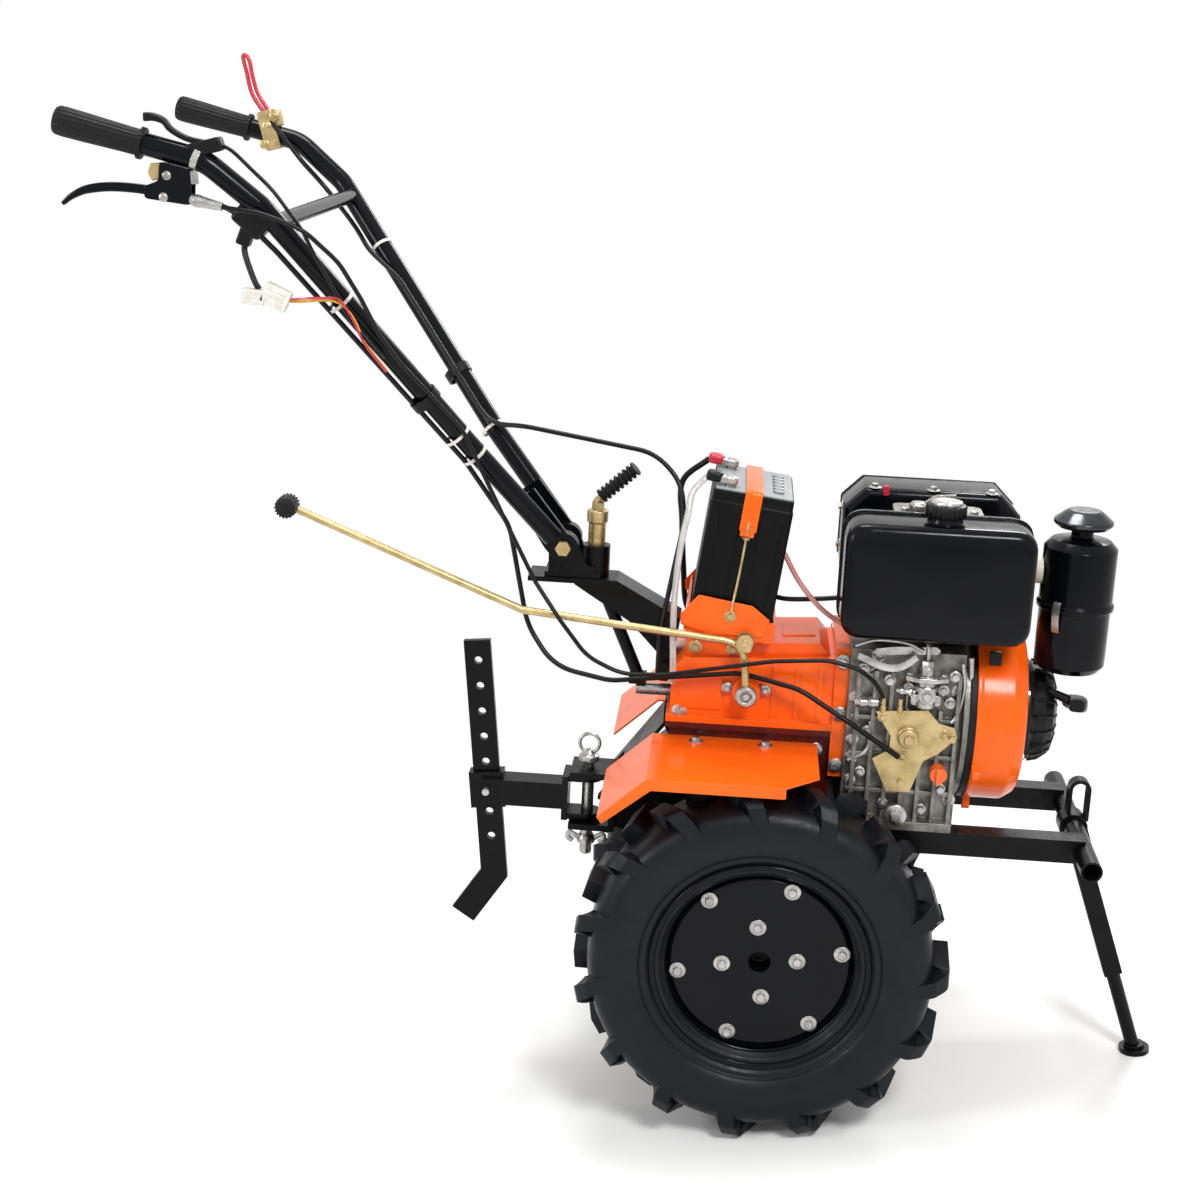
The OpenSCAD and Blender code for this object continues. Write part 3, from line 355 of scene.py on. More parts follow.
class Shell:
    """A mesh that grows by surfaces, each with the number of its finish."""

    def __init__(self) -> None:
        """Starts empty."""
        self.points: list[Array] = []
        self.faces: list[list[int]] = []
        self.marks: list[int] = []
        self.count = 0

    def grid(self, p: Array, mark: int = 0, loop: bool = False, caps: bool = True) -> "Shell":
        """Adds a grid whose second direction closes on itself.

        Args:
            p: Grid of points in millimetres.
            mark: Number of the finish.
            loop: Whether the first direction closes too.
            caps: Whether the first and last rings are filled.

        Returns:
            The shell.
        """
        rows, cols = p.shape[:2]
        i, j = np.meshgrid(np.arange(rows if loop else rows - 1), np.arange(cols), indexing="ij")
        k, m = (i + 1) % rows, (j + 1) % cols
        quads = np.stack([i * cols + j, i * cols + m, k * cols + m, k * cols + j], -1)
        faces = quads.reshape(-1, 4).tolist()
        if caps and not loop:
            faces += [list(range(cols))[::-1], list(range((rows - 1) * cols, rows * cols))]
        self.points.append(np.asarray(p, float).reshape(-1, 3))
        self.faces += [[corner + self.count for corner in f] for f in faces]
        self.marks += [mark] * len(faces)
        self.count += rows * cols
        return self

    def lathe(self, profile: ArrayLike, at: ArrayLike, axis: ArrayLike, soft: float, steps: int,
              segments: int, mark: int = 0, closed: bool = False) -> "Shell":
        """Adds a turned solid whose profile has rounded corners.

        Args:
            profile: Rows of radius and height.
            at: Point on the axis.
            axis: Direction of the axis.
            soft: Radius of the profile's corners.
            steps: Spans to a corner.
            segments: Steps round the axis.
            mark: Number of the finish.
            closed: Whether the profile is a ring's, which joins its own start.

        Returns:
            The shell.
        """
        return self.grid(revolve(rounded(profile, soft, steps, closed), at, axis, segments), mark, closed)

    def rod(self, path: ArrayLike, radius: float, sides: int, up: Array = Y, mark: int = 0,
            scale: ArrayLike = 1.0) -> "Shell":
        """Adds a round rod along a path.

        Args:
            path: Points of the path.
            radius: Radius of the rod.
            sides: Points round it.
            up: Direction that its first point keeps to.
            mark: Number of the finish.
            scale: Size of the section along the path.

        Returns:
            The shell.
        """
        return self.grid(sweep(path, circle(radius, sides), up, scale), mark)

    def plate(self, edge_line: ArrayLike, y0: float, y1: float, mark: int = 0) -> "Shell":
        """Adds a side-view outline (X, Z) given a thickness from y0 to y1."""
        return self.grid(np.stack([upright(edge_line, y0), upright(edge_line, y1)]), mark)

    def bolt(self, at: ArrayLike, axis: Array, flats: float, mark: int = 0) -> "Shell":
        """Adds a flanged hexagon bolt head on a face.

        Args:
            at: Middle of the head's foot.
            axis: Direction out of the face.
            flats: Width across the flats.
            mark: Number of the finish.

        Returns:
            The shell.
        """
        r = flats / math.sqrt(3)
        h = 0.62 * flats
        rim, top = 1.75 * r, 1.5 * r
        washer = [[0, 0], [rim, 0], [rim, 0.08 * h], [top, 0.22 * h], [0, 0.22 * h]]
        head = [[0, 0.1 * h], [r, 0.1 * h], [r, 0.86 * h], [0.82 * r, h], [0, h]]
        self.grid(revolve(washer, at, axis, 20), mark, caps=False)
        return self.grid(revolve(head, at, axis, 6), mark, caps=False)

    def piece(self, name: str, body: str, finishes: list["Finish"], replaces: tuple[str, ...] = (),
              sharp: float = 38.0, bevel: float = 0.0, rides: bool = True) -> bpy.types.Object:
        """Makes the object, with its normals outwards and its finishes on.

        Args:
            name: Name of the piece.
            body: Body that it moves with.
            finishes: Finishes in the order of the marks.
            replaces: CAD nodes that it stands for.
            sharp: Angle in degrees past which an edge is drawn sharp.
            bevel: Width of the rounding on sharp edges, in millimetres.
            rides: Whether it is parented to its body here.

        Returns:
            The object.
        """
        mesh = bpy.data.meshes.new(name)
        mesh.from_pydata(parked(np.concatenate(self.points)).tolist(), [], self.faces)
        for finish in finishes:
            mesh.materials.append(finish.material())
        mesh.polygons.foreach_set("material_index", np.array(self.marks, np.int32))
        bm = bmesh.new()
        bm.from_mesh(mesh)
        bmesh.ops.remove_doubles(bm, verts=bm.verts, dist=MERGE * MM)
        bmesh.ops.dissolve_degenerate(bm, edges=bm.edges, dist=MERGE * MM)
        bmesh.ops.recalc_face_normals(bm, faces=bm.faces)
        bm.to_mesh(mesh)
        bm.free()
        mesh.shade_smooth()
        mesh.set_sharp_from_angle(angle=math.radians(sharp))
        obj = bpy.data.objects.new(name, mesh)
        bpy.context.scene.collection.objects.link(obj)
        if bevel:
            mod = obj.modifiers.new("soft_edges", "BEVEL")
            mod.width = bevel * MM
            mod.segments = 2
            mod.limit_method = "ANGLE"
            mod.angle_limit = math.radians(sharp)
        if replaces:
            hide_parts(*replaces)
        if rides:
            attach(obj, body)
        LOG.info("%s: %d faces on %s", name, len(mesh.polygons), body)
        return obj


# Finishes


def linear(colour: str) -> tuple[float, float, float, float]:
    """Linear colour of an sRGB hex value.

    Args:
        colour: Value such as "#E4541B".

    Returns:
        Red, green, blue and alpha.
    """
    v = [int(colour[i:i + 2], 16) / 255 for i in (1, 3, 5)]
    r, g, b = (c / 12.92 if c <= 0.04045 else ((c + 0.055) / 1.055) ** 2.4 for c in v)
    return r, g, b, 1.0


def node(tree: bpy.types.NodeTree, kind: str, inputs: dict | None = None, **settings) -> bpy.types.Node:
    """Adds a node with its settings, values and links.

    Args:
        tree: Tree that takes it.
        kind: Type of the shader node, such as TexNoise.
        inputs: Value or output socket for each input, by name or number.
        **settings: Properties of the node.

    Returns:
        The node.
    """
    n = tree.nodes.new(f"ShaderNode{kind}")
    for key, value in settings.items():
        setattr(n, key, value)
    for key, value in (inputs or {}).items():
        if isinstance(value, bpy.types.NodeSocket):
            tree.links.new(value, n.inputs[key])
        else:
            n.inputs[key].default_value = value
    return n


class Grain(Enum):
    """How a surface was made, which sets its fine relief."""

    SPRAYED = "sprayed"
    CAST = "cast"
    DRAWN = "drawn"
    MOULDED = "moulded"


@dataclass(frozen=True)
class Finish:
    """One real finish: its colours, relief and gloss. Lengths are millimetres."""

    name: str
    slot: str
    colour: str
    shade: str
    patch: float
    grain: Grain
    pitch: float
    relief: float
    rough: float
    spread: float
    metallic: float = 0.0
    specular: float = 0.5
    worn: str = ""
    edge: float = 0.0
    clear: float = 0.0

    def material(self) -> bpy.types.Material:
        """The finish's material, made at its first use."""
        made = bpy.data.materials.get(self.name)
        return made if made else self.build()

    def fine(self, t: bpy.types.NodeTree, place: bpy.types.NodeSocket) -> bpy.types.NodeSocket:
        """Height of the fine relief: cells on a casting, long streaks on drawn metal, noise on the rest.

        Args:
            t: The material's tree.
            place: Object coordinates.

        Returns:
            The socket that carries the height.
        """
        stretch = (1.0, 14.0, 14.0) if self.grain is Grain.DRAWN else (1.0, 1.0, 1.0)
        laid = node(t, "Mapping", {"Vector": place, "Scale": stretch}).outputs["Vector"]
        scale = 1 / (self.pitch * MM)
        if self.grain is Grain.CAST:
            cells = {"Vector": laid, "Scale": scale, "Randomness": 1.0}
            return node(t, "TexVoronoi", cells, feature="SMOOTH_F1").outputs["Distance"]
        return node(t, "TexNoise", {"Vector": laid, "Scale": scale, "Detail": 2.0}).outputs["Fac"]

    def wear(self, t: bpy.types.NodeTree, colour: bpy.types.NodeSocket, soft: bpy.types.NodeSocket,
             gloss: bpy.types.NodeSocket) -> bpy.types.NodeSocket:
        """Colour that turns to the worn one in patches where the softened normal leaves the flat one.

        Args:
            t: The material's tree.
            colour: Colour of the sound finish.
            soft: Normal softened at the edges.
            gloss: Patches that break up the wear.

        Returns:
            The socket that carries the colour.
        """
        flat = node(t, "NewGeometry").outputs["Normal"]
        same = node(t, "VectorMath", {0: soft, 1: flat}, operation="DOT_PRODUCT").outputs["Value"]
        rim = node(t, "MapRange", {"Value": same, "From Min": 0.985, "From Max": 0.9, "To Max": 0.55})
        chip = node(t, "Math", {0: rim.outputs["Result"], 1: gloss}, operation="MULTIPLY")
        parts = {"Factor": chip.outputs["Value"], "A": colour, "B": linear(self.worn)}
        return node(t, "Mix", parts, data_type="RGBA").outputs["Result"]

    def build(self) -> bpy.types.Material:
        """Colour patches, gloss patches and fine relief on Object coordinates, worn at the edges.

        Returns:
            The new material.
        """
        mat = bpy.data.materials.new(self.name)
        mat.use_nodes = True
        t = mat.node_tree
        t.nodes.clear()
        place = node(t, "TexCoord").outputs["Object"]
        scale = 1 / (self.patch * MM)
        patches = node(t, "TexNoise", {"Vector": place, "Scale": scale, "Detail": 4.0, "Roughness": 0.6})
        amount = node(t, "MapRange", {"Value": patches.outputs["Fac"], "From Min": 0.36, "From Max": 0.68})
        parts = {"Factor": amount.outputs["Result"], "A": linear(self.colour), "B": linear(self.shade)}
        colour = node(t, "Mix", parts, data_type="RGBA").outputs["Result"]
        gloss = node(t, "TexNoise", {"Vector": place, "Scale": 3.3 * scale, "Detail": 3.0}).outputs["Fac"]
        rough = node(t, "MapRange", {"Value": gloss, "From Min": 0.3, "From Max": 0.7,
                                     "To Min": self.rough - self.spread, "To Max": self.rough + self.spread})
        relief = {"Height": self.fine(t, place), "Strength": 1.0, "Distance": self.relief * MM}
        if self.edge:
            soft = node(t, "Bevel", {"Radius": self.edge * MM}, samples=4).outputs["Normal"]
            relief["Normal"] = soft
            if self.worn:
                colour = self.wear(t, colour, soft, gloss)
        shader = node(t, "BsdfPrincipled", {
            "Base Color": colour, "Roughness": rough.outputs["Result"], "Metallic": self.metallic,
            "Normal": node(t, "Bump", relief).outputs["Normal"],
            "Specular IOR Level": self.specular, "Transmission Weight": self.clear,
        })
        node(t, "OutputMaterial", {"Surface": shader.outputs["BSDF"]})
        return mat


# Two-part enamel sprayed over steel and castings: bright orange, wet gloss with a faint peel
ORANGE = Finish("orange_enamel", "orange_paint", "#EF6212", "#E4550B", patch=120, grain=Grain.SPRAYED,
                pitch=1.6, relief=0.03, rough=0.2, spread=0.06, specular=0.22, worn="#F7A264", edge=1.6)
# The same orange enamel in dark red-brown: painted shade of the lower casting, which faces down
ORANGE_PAINTED_SHADE = Finish("orange_enamel_painted_shade", "maroon_paint", "#56170F", "#3A0E09", patch=70, grain=Grain.CAST,
                pitch=2.4, relief=0.06, rough=0.28, spread=0.08, specular=0.3, worn="#7A3A2C", edge=2.0)
# Black stove enamel on pressed steel: deep black, tinted blue as a painted reflection, with sharp reflections
BLACK = Finish("black_enamel", "black_paint", "#050609", "#08090D", patch=90, grain=Grain.SPRAYED,
               pitch=1.8, relief=0.03, rough=0.16, spread=0.06, specular=0.14, worn="#1E2024", edge=1.4)
# Black powder coat on bars and frame: softer gloss and a grainy skin
POWDER = Finish("black_powder_coat", "black_paint", "#060607", "#0A0A0B", patch=60, grain=Grain.SPRAYED,
                pitch=1.0, relief=0.05, rough=0.3, spread=0.08, specular=0.13, worn="#28292A", edge=1.2)
# Die-cast aluminium: grey, slightly oxidised, with a coarse cast skin
ALLOY = Finish("cast_aluminium", "cast_alloy", "#8A8780", "#5A5750", patch=26, grain=Grain.CAST,
               pitch=2.2, relief=0.14, rough=0.44, spread=0.1, metallic=0.6, worn="#CFCECA", edge=1.8)
# Yellow-passivated zinc plate: straw gold with greenish and pinkish drift
ZINC = Finish("yellow_zinc_plate", "yellow_zinc", "#C0AA7C", "#9F8A5B", patch=24, grain=Grain.DRAWN,
              pitch=3.0, relief=0.01, rough=0.34, spread=0.08, metallic=0.75, edge=0.8)
# White-passivated zinc and turned steel: pale grey metal with drawn lines
STEEL = Finish("bright_zinc_steel", "bright_steel", "#B9B8B5", "#8F8E8B", patch=20, grain=Grain.DRAWN,
               pitch=2.0, relief=0.012, rough=0.3, spread=0.08, metallic=0.9, edge=0.6)
# Black chrome on the filter's cap: dark metal with clear reflections
CHROME = Finish("black_chrome", "black_paint", "#4E4F53", "#3A3B3F", patch=40, grain=Grain.SPRAYED,
                pitch=1.6, relief=0.01, rough=0.2, spread=0.05, metallic=0.9)
# Vulcanised tread rubber: black, tinted blue as a painted reflection, satin with a waxy bloom
TYRE = Finish("tyre_rubber", "tyre", "#07090E", "#0C0F15", patch=55, grain=Grain.MOULDED,
              pitch=1.4, relief=0.08, rough=0.4, spread=0.1, specular=0.2)
# Moulded grip rubber: softer and a little greyer
RUBBER = Finish("grip_rubber", "rubber", "#0A0A0B", "#101011", patch=30, grain=Grain.MOULDED,
                pitch=0.9, relief=0.06, rough=0.5, spread=0.08, specular=0.2)
# Extruded PVC cable sheath
SHEATH = Finish("pvc_sheath", "cable", "#060607", "#0A0A0B", patch=40, grain=Grain.MOULDED,
                pitch=2.0, relief=0.02, rough=0.34, spread=0.06, specular=0.22)
# Injection-moulded polypropylene of the battery's case
CASE = Finish("battery_polypropylene", "battery_case", "#050506", "#08090A", patch=45, grain=Grain.MOULDED,
              pitch=0.8, relief=0.05, rough=0.4, spread=0.06, specular=0.12, edge=1.5)
# The same plastic in grey, for the battery's lid
LID = Finish("grey_polypropylene", "battery_case", "#86888A", "#77797B", patch=45, grain=Grain.MOULDED,
             pitch=0.8, relief=0.05, rough=0.4, spread=0.06)
# Glass-filled nylon mouldings on the engine and the handles
PLASTIC = Finish("black_moulded_plastic", "black_plastic", "#070708", "#0C0C0D", patch=40,
                 grain=Grain.MOULDED, pitch=0.9, relief=0.05, rough=0.36, spread=0.07, specular=0.2, edge=1.2)
# Orange moulded plastic of the oil cap
CAP = Finish("orange_plastic_cap", "orange_plastic", "#EC6A1C", "#DE5A0E", patch=30, grain=Grain.MOULDED,
             pitch=1.2, relief=0.03, rough=0.34, spread=0.05, edge=1.0)
# Red dipped vinyl of the throttle's loop, a terminal cover, a tag and a wire
RED = Finish("red_dipped_vinyl", "red_plastic", "#BE2438", "#A31A2B", patch=18, grain=Grain.MOULDED,
             pitch=1.2, relief=0.02, rough=0.3, spread=0.05)
# Unfilled nylon of ties and plugs
NYLON = Finish("natural_nylon", "black_plastic", "#D8D5CD", "#C9C5BB", patch=14, grain=Grain.MOULDED,
               pitch=3.0, relief=0.004, rough=0.4, spread=0.05)
# Yellow sheath of a wire
YELLOW = Finish("yellow_wire_pvc", "cable", "#DDAE22", "#C99A14", patch=14, grain=Grain.MOULDED,
                pitch=1.0, relief=0.02, rough=0.4, spread=0.05)
# Milky sleeve that lets some light through
HOSE = Finish("clear_pvc_hose", "rubber", "#E6E4E1", "#DAD7D3", patch=30, grain=Grain.MOULDED,
              pitch=4.0, relief=0.01, rough=0.16, spread=0.05, clear=0.6)
# Pink fuel-proof hose, nearly opaque
PINK = Finish("fuel_hose_pvc", "rubber", "#D0958C", "#BE8178", patch=30, grain=Grain.MOULDED,
              pitch=2.0, relief=0.01, rough=0.26, spread=0.05, clear=0.2)
# Pale painted casting of the inlet duct
DUCT = Finish("pale_inlet_casting", "rubber", "#BDB7AC", "#A49E93", patch=24, grain=Grain.CAST,
              pitch=1.8, relief=0.05, rough=0.5, spread=0.06)


@dataclass(frozen=True)
class CadFinishes:
    """Finishes of the CAD nodes that stay in view."""

    finish: dict[Finish, tuple[str, ...]] = field(default_factory=lambda: {
        ORANGE: ("gearbox_upper", "gearbox_cover", "clutch_housing", "right_fender", "left_fender",
                 "battery_tray"),
        # Lower gearbox: orange enamel darkened as painted shade
        ORANGE_PAINTED_SHADE: ("gearbox_lower",),
        POWDER: ("rear_guard", "hitch_bracket", "handle_arm", "frame", "bumper", "stand_leg", "stand_foot",
                 "swivel_head", "drawbar", "depth_bar"),
        ALLOY: ("crankcase", "cylinder_block", "valve_cover"),
        ZINC: ("control_plate", "tilt_bolt"),
        STEEL: ("rear_shaft", "lock_pin"),
        CAP: ("oil_cap",),
    })

    def dress(self) -> None:
        """Puts each finish in its nodes' material slots."""
        for finish, names in self.finish.items():
            for name in names:
                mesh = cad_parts[name].data
                mesh.materials.clear()
                mesh.materials.append(finish.material())


# Pieces


@dataclass
class Wheel:
    """One driven wheel: lugged tyre, stepped rim and bolted hub plate.

    A ring of bolts is its count, its radius and its first angle. The lugs' sweep is the three factors
    of the shift along the tread: a + b u + c u^2, with u from the crown to the sidewall.
    """

    side: int
    body: str
    mid: float = 216.0
    outer_r: float = 295.0
    carcass_r: float = 271.0
    half_w: float = 72.5
    lugs: int = 15
    lug_top: float = 26.0
    lug_foot: float = 38.0
    lug_depth: tuple[float, float] = (34.0, 12.0)
    lug_sweep: tuple[float, float, float] = (30.0, -66.0, 18.0)
    plate_r: float = 142.0
    plate_y: float = 30.0
    hub_end: float = -185.0
    bolt_rings: tuple[tuple[int, float, float], ...] = ((6, 129.3, 0.18), (4, 58.7, 0.1))
    bolt_flats: float = 13.0

    @property
    def name(self) -> str:
        """Start of the CAD nodes' names on this side."""
        return "right" if self.side < 0 else "left"

    @property
    def middle(self) -> Array:
        """Middle of the wheel."""
        return np.array([0.0, self.side * self.mid, 0.0])

    def lug_grid(self, half: int) -> Array:
        """Lugs of one half: a spine over the crown and down the shoulder, with a drafted section.

        Args:
            half: 1 for the outer half of the tyre, -1 for the inner.

        Returns:
            Grid of points, lug by station by corner.
        """
        r, w = self.outer_r - 0.6, self.half_w - 0.4
        spine = rounded([[3, r], [w - 15, r - 2], [w - 1, r - 24], [w, r - 60]], 16, 5)
        along = np.gradient(spine, axis=0)
        inward = unit(np.stack([along[:, 1], -along[:, 0]], 1))
        u = lengths(spine)
        u = u / u[-1]
        crown, wall = self.lug_depth
        deep = crown + (wall - crown) * u
        a, b, c = self.lug_sweep
        shift = a + b * u + c * u**2
        corner = np.array([[-0.5, 0], [0.5, 0], [0.5, 1], [-0.5, 1]])
        width = self.lug_top + (self.lug_foot - self.lug_top) * corner[:, 1]
        across = shift[:, None] + (corner[:, 0] * width)[None]
        yr = spine[:, None] + (deep[:, None] * corner[None, :, 1])[..., None] * inward[:, None]
        stagger = 0.5 if half < 0 else 0.0
        turn = 2 * math.pi * (np.arange(self.lugs) + stagger) / self.lugs
        angle = turn[:, None, None] + (across / self.carcass_r)[None]
        radius = np.broadcast_to(yr[None, ..., 1], angle.shape)
        out = np.broadcast_to(yr[None, ..., 0] * half * self.side, angle.shape)
        return np.stack([radius * np.cos(angle), out, radius * np.sin(angle)], -1) + self.middle

    def tyre(self) -> None:
        """Carcass of revolution with a bead ridge, and its two rows of lugs."""
        crown = spline([[153, 43], [160, 50], [173, 51], [180, 56], [186, 56.5], [192, 63], [212, 71.5],
                        [232, 72.6], [250, 69], [263, 58], [269.5, 38], [271.5, 0]], 4)
        ring = np.concatenate([crown, (crown * [1, -1])[-2::-1], [[150, -40], [150, 40]]])
        shell = Shell().grid(revolve(ring, self.middle, Y, 120), loop=True)
        for half in SIDES:
            for lug in self.lug_grid(half):
                shell.grid(lug)
        shell.piece(f"{self.name}_tread", self.body, [TYRE], (f"{self.name}_tyre",), bevel=3.0)

    def rim(self) -> None:
        """Stepped rim turned from one line, the hub plate with its hole, and ten bolts."""
        out = self.side * Y
        lip = np.array([[147, 22], [148, 34], [153, 37], [155, 45], [161, 47], [164, 54], [171, 55.5],
                        [173.5, 53], [172, 49.5], [157, 48], [151.5, 40]])
        web = [[144, -20], [120, -18], [120, -24], [144, -27], [144, 16]]
        line = np.concatenate([lip, (lip * [1, -1])[::-1][:-1], web])
        shell = Shell().lathe(line, self.middle, out, 2.5, 3, 120, closed=True)
        y, r, end = self.plate_y, self.plate_r, self.hub_end
        disc = [[0, -8], [17, -8], [17, y - 1], [18, y], [r - 4, y], [r, y - 3], [r + 6, y - 9],
                [r + 6, y - 13], [75, y - 7], [75, y - 14], [27, y - 14], [27, -112], [16, -112], [16, end],
                [0, end]]
        shell.grid(revolve(rounded(disc, 1.5, 2), self.middle, out, 96), caps=False)
        shell.piece(f"{self.name}_rim_and_hub", self.body, [BLACK],
                    (f"{self.name}_rim", f"{self.name}_hub"))
        bolts = Shell()
        face = self.middle + y * out
        for count, radius, start in self.bolt_rings:
            for a in angles(count, start):
                bolts.bolt(face + radius * np.array([math.cos(a), 0, math.sin(a)]), out, self.bolt_flats)
        bolts.piece(f"{self.name}_wheel_bolts", self.body, [STEEL])

    def build(self) -> None:
        """Makes the tyre, the rim and its bolts."""
        self.tyre()
        self.rim()


@dataclass
class Handles:
    """The two bent handles with their ears, crossbar, grips, levers and wiring.

    A tie or a clamp is its side and its place along the long straight, from the straight's top. Its
    size is its width, its thickness and its slack for the cables.
    """

    tube_d: float = 32.0
    bend: float = 70.0
    path: Array = field(default_factory=lambda: np.array([
        [-365, 58.5, 617], [-479, 108.5, 751], [-774, 290, 1127], [-852, 308, 1190], [-1058, 310, 1236]]))
    ear: tuple[float, float] = (35.5, 43.5)
    ear_r: float = 24.0
    tilt: tuple[float, float] = (-349.0, 597.0)
    crossbar_r: float = 12.0
    crossbar_back: float = 28.0
    grip_r: float = 21.0
    flute: float = 0.9
    flutes: int = 20
    ties: tuple[tuple[int, float], ...] = ((-1, 0.35), (-1, 0.9), (-1, 0.985), (1, 0.26), (1, 0.985))
    tie_size: tuple[float, float, float] = (5.0, 1.4, 9.0)
    clamps: tuple[tuple[int, float], ...] = ((-1, 0.745), (1, 0.765))
    clamp_size: tuple[float, float, float] = (16.0, 3.0, 10.0)

    def side(self, s: int) -> Array:
        """Corners of the handle on side s, -1 for the right."""
        return self.path * [1, s, 1]

    def tubes(self) -> None:
        """Round tubes swept along the handles' rounded lines, ears and crossbar."""
        shell = Shell()
        x, z = self.tilt
        a = np.linspace(-2.3, 1.35, 14)
        nose = np.stack([x + self.ear_r * np.cos(a), z + self.ear_r * np.sin(a)], 1)
        ear = np.concatenate([nose, [[x - 50, z + 93], [x - 79, z + 72], [x - 30, z - 2]]])
        for s in SIDES:
            shell.rod(rounded(self.side(s), self.bend, 10), self.tube_d / 2, 28, X)
            y0, y1 = sorted(s * e for e in self.ear)
            shell.plate(ear, y0, y1)
        p = self.path[2] - self.crossbar_back * unit(self.path[2] - self.path[1])
        inside = 14 * Y
        shell.rod(np.linspace(p * [1, -1, 1] + inside, p - inside, 3), self.crossbar_r, 24, X)
        shell.piece("handle_tubes", "handlebar", [BLACK], ("handlebar",))

    def grips(self) -> None:
        """Rubber grips: a swelling, fluted sleeve with a flange and a rounded end."""
        places = [-126, -124, -118, -117, -100, -70, -34, -8, 0, 4, 6, 6]
        radii = np.array([16.3, 22.6, 23, 18.6, 18.8, 19.6, 20.6, 21, 20.4, 18, 12, POLE])
        ring = fluted(self.grip_r, self.flute, self.flutes)
        for s, name in zip(SIDES, ("right", "left")):
            before, end = self.side(s)[3:]
            d = unit(end - before)
            sleeve = stack(ring, radii / self.grip_r, places, end, d, square_axes(d))
            Shell().grid(sleeve).piece(f"{name}_handle_grip", "handlebar", [RUBBER], (f"{name}_grip",))

    def clutch(self) -> None:
        """Clutch lever: a curved tapering blade on a folded bracket, with its catch, band and pins."""
        blade = spline(upright([[-1055, 1121], [-1040, 1133], [-1018, 1143], [-984, 1148], [-943, 1147],
                                [-905, 1142]], -310), 5)
        u = np.linspace(0, 1, len(blade))
        taper = 0.45 + 0.55 * np.minimum(1, u * 2.2)
        shell = Shell().grid(sweep(blade, soft_rect(13, 17, 4), Z, taper))
        bracket = outline([[-934, 1135], [-868, 1128], [-866, 1177], [-912, 1187], [-914, 1160],
                           [-934, 1152]], 6)
        for y in (-323, -300):
            shell.plate(bracket, y, y + 3)
        shell.plate(outline([[-912, 1180], [-868, 1170], [-867, 1176], [-912, 1186]], 2, 2), -322, -298)
        shell.piece("clutch_blade", "handlebar", [BLACK], ("clutch_lever",), bevel=0.8)
        small = Shell()
        pin = [[0, 0], [7, 0], [7, 2], [5, 4], [0, 4.4]]
        for x, z in ((-901, 1168), (-906, 1138)):
            for y, axis in ((-323, -Y), (-297, Y)):
                small.grid(revolve(pin, [x, y, z], axis, 20), caps=False)
        catch = outline([[-927, 1183], [-911, 1185], [-913, 1164], [-924, 1158], [-931, 1170]], 4)
        small.plate(catch, -315, -305, 1)
        band = [[16.2, -5], [18.4, -5], [18.4, 5], [16.2, 5]]
        small.grid(revolve(band, [-862, -308, 1191], [-0.94, 0, 0.34], 40), loop=True)
        tab = outline([[-867, 1176], [-857, 1176], [-855, 1158], [-866, 1158]], 2, 2)
        small.plate(tab, -327, -323.5)
        small.piece("clutch_catch", "handlebar", [STEEL, ZINC], bevel=0.8)

    def upper_lever(self) -> None:
        """Upper lever: a bent flat blade on a clamp."""
        path = spline(upright([[-935, 1246], [-922, 1246], [-908, 1241], [-898, 1230], [-876, 1219],
                               [-850, 1214]], -308), 5)
        wide = 1.5 - 0.5 * np.clip(np.linspace(-0.2, 2.4, len(path)), 0, 1)
        shell = Shell().grid(sweep(path, soft_rect(8, 14, 3), Z, wide))
        shell.grid(slab(52, 20, 24, 6, 4, tilt=-16) + [-850, -308, 1208])
        shell.piece("upper_blade", "handlebar", [PLASTIC], ("upper_lever",))

    def throttle(self) -> None:
        """Throttle lever: a dipped wire loop on a clamp with two cheeks and three bolts."""
        loop = spline(upright([[-906, 1228], [-921, 1244], [-936, 1268], [-944, 1300], [-950, 1324],
                               [-945, 1327], [-939, 1318], [-934, 1294], [-925, 1266], [-908, 1240]], 310), 6)
        shell = Shell().rod(loop, 3.6, 12)
        shell.grid(slab(30, 28, 30, 5, 3, tilt=-13) + [-899, 308.5, 1225], 1)
        for y in (290.5, 326.5):
            shell.grid(slab(26, 66, 3.6, 5, 1, tilt=-16) + [-902, y, 1207], 1)
        for x, z in ((-909, 1184), (-905, 1214), (-893, 1231)):
            shell.bolt([x, 288.7, z], -Y, 8, 1)
        shell.piece("throttle_loop", "handlebar", [RED, ZINC], ("throttle_lever",))

    def band(self, s: int, place: float, width: float, thick: float, slack: float) -> Array:
        """A band round the long straight of a handle and the cables under it.

        Args:
            s: Side of the handle.
            place: Place along the straight, from its top.
            width: Width along the tube.
            thick: Thickness of the band.
            slack: Room for the cables below the tube.

        Returns:
            Grid of points, closed both ways.
        """
        b, a = self.side(s)[1:3]
        d = unit(b - a)
        down = unit(-Z + (Z @ d) * d)
        out = np.cross(d, down)
        r = self.tube_d / 2 + thick / 2
        t = np.linspace(0, 2 * math.pi, 40, endpoint=False)
        drop = np.where(np.cos(t) > 0, r + slack, r)
        ring = a + place * (b - a) + (drop * np.cos(t))[:, None] * down + (r * np.sin(t))[:, None] * out
        return sweep(ring, rect(width, thick), d, loop=True)

    def bands(self) -> None:
        """Nylon ties and wider plastic clamps that hold the cables to the handles."""
        shell = Shell()
        for tie in self.ties:
            shell.grid(self.band(*tie, *self.tie_size), loop=True)
        for clamp in self.clamps:
            shell.grid(self.band(*clamp, *self.clamp_size), 1, loop=True)
        shell.piece("ties_and_clamps", "handlebar", [NYLON, PLASTIC])

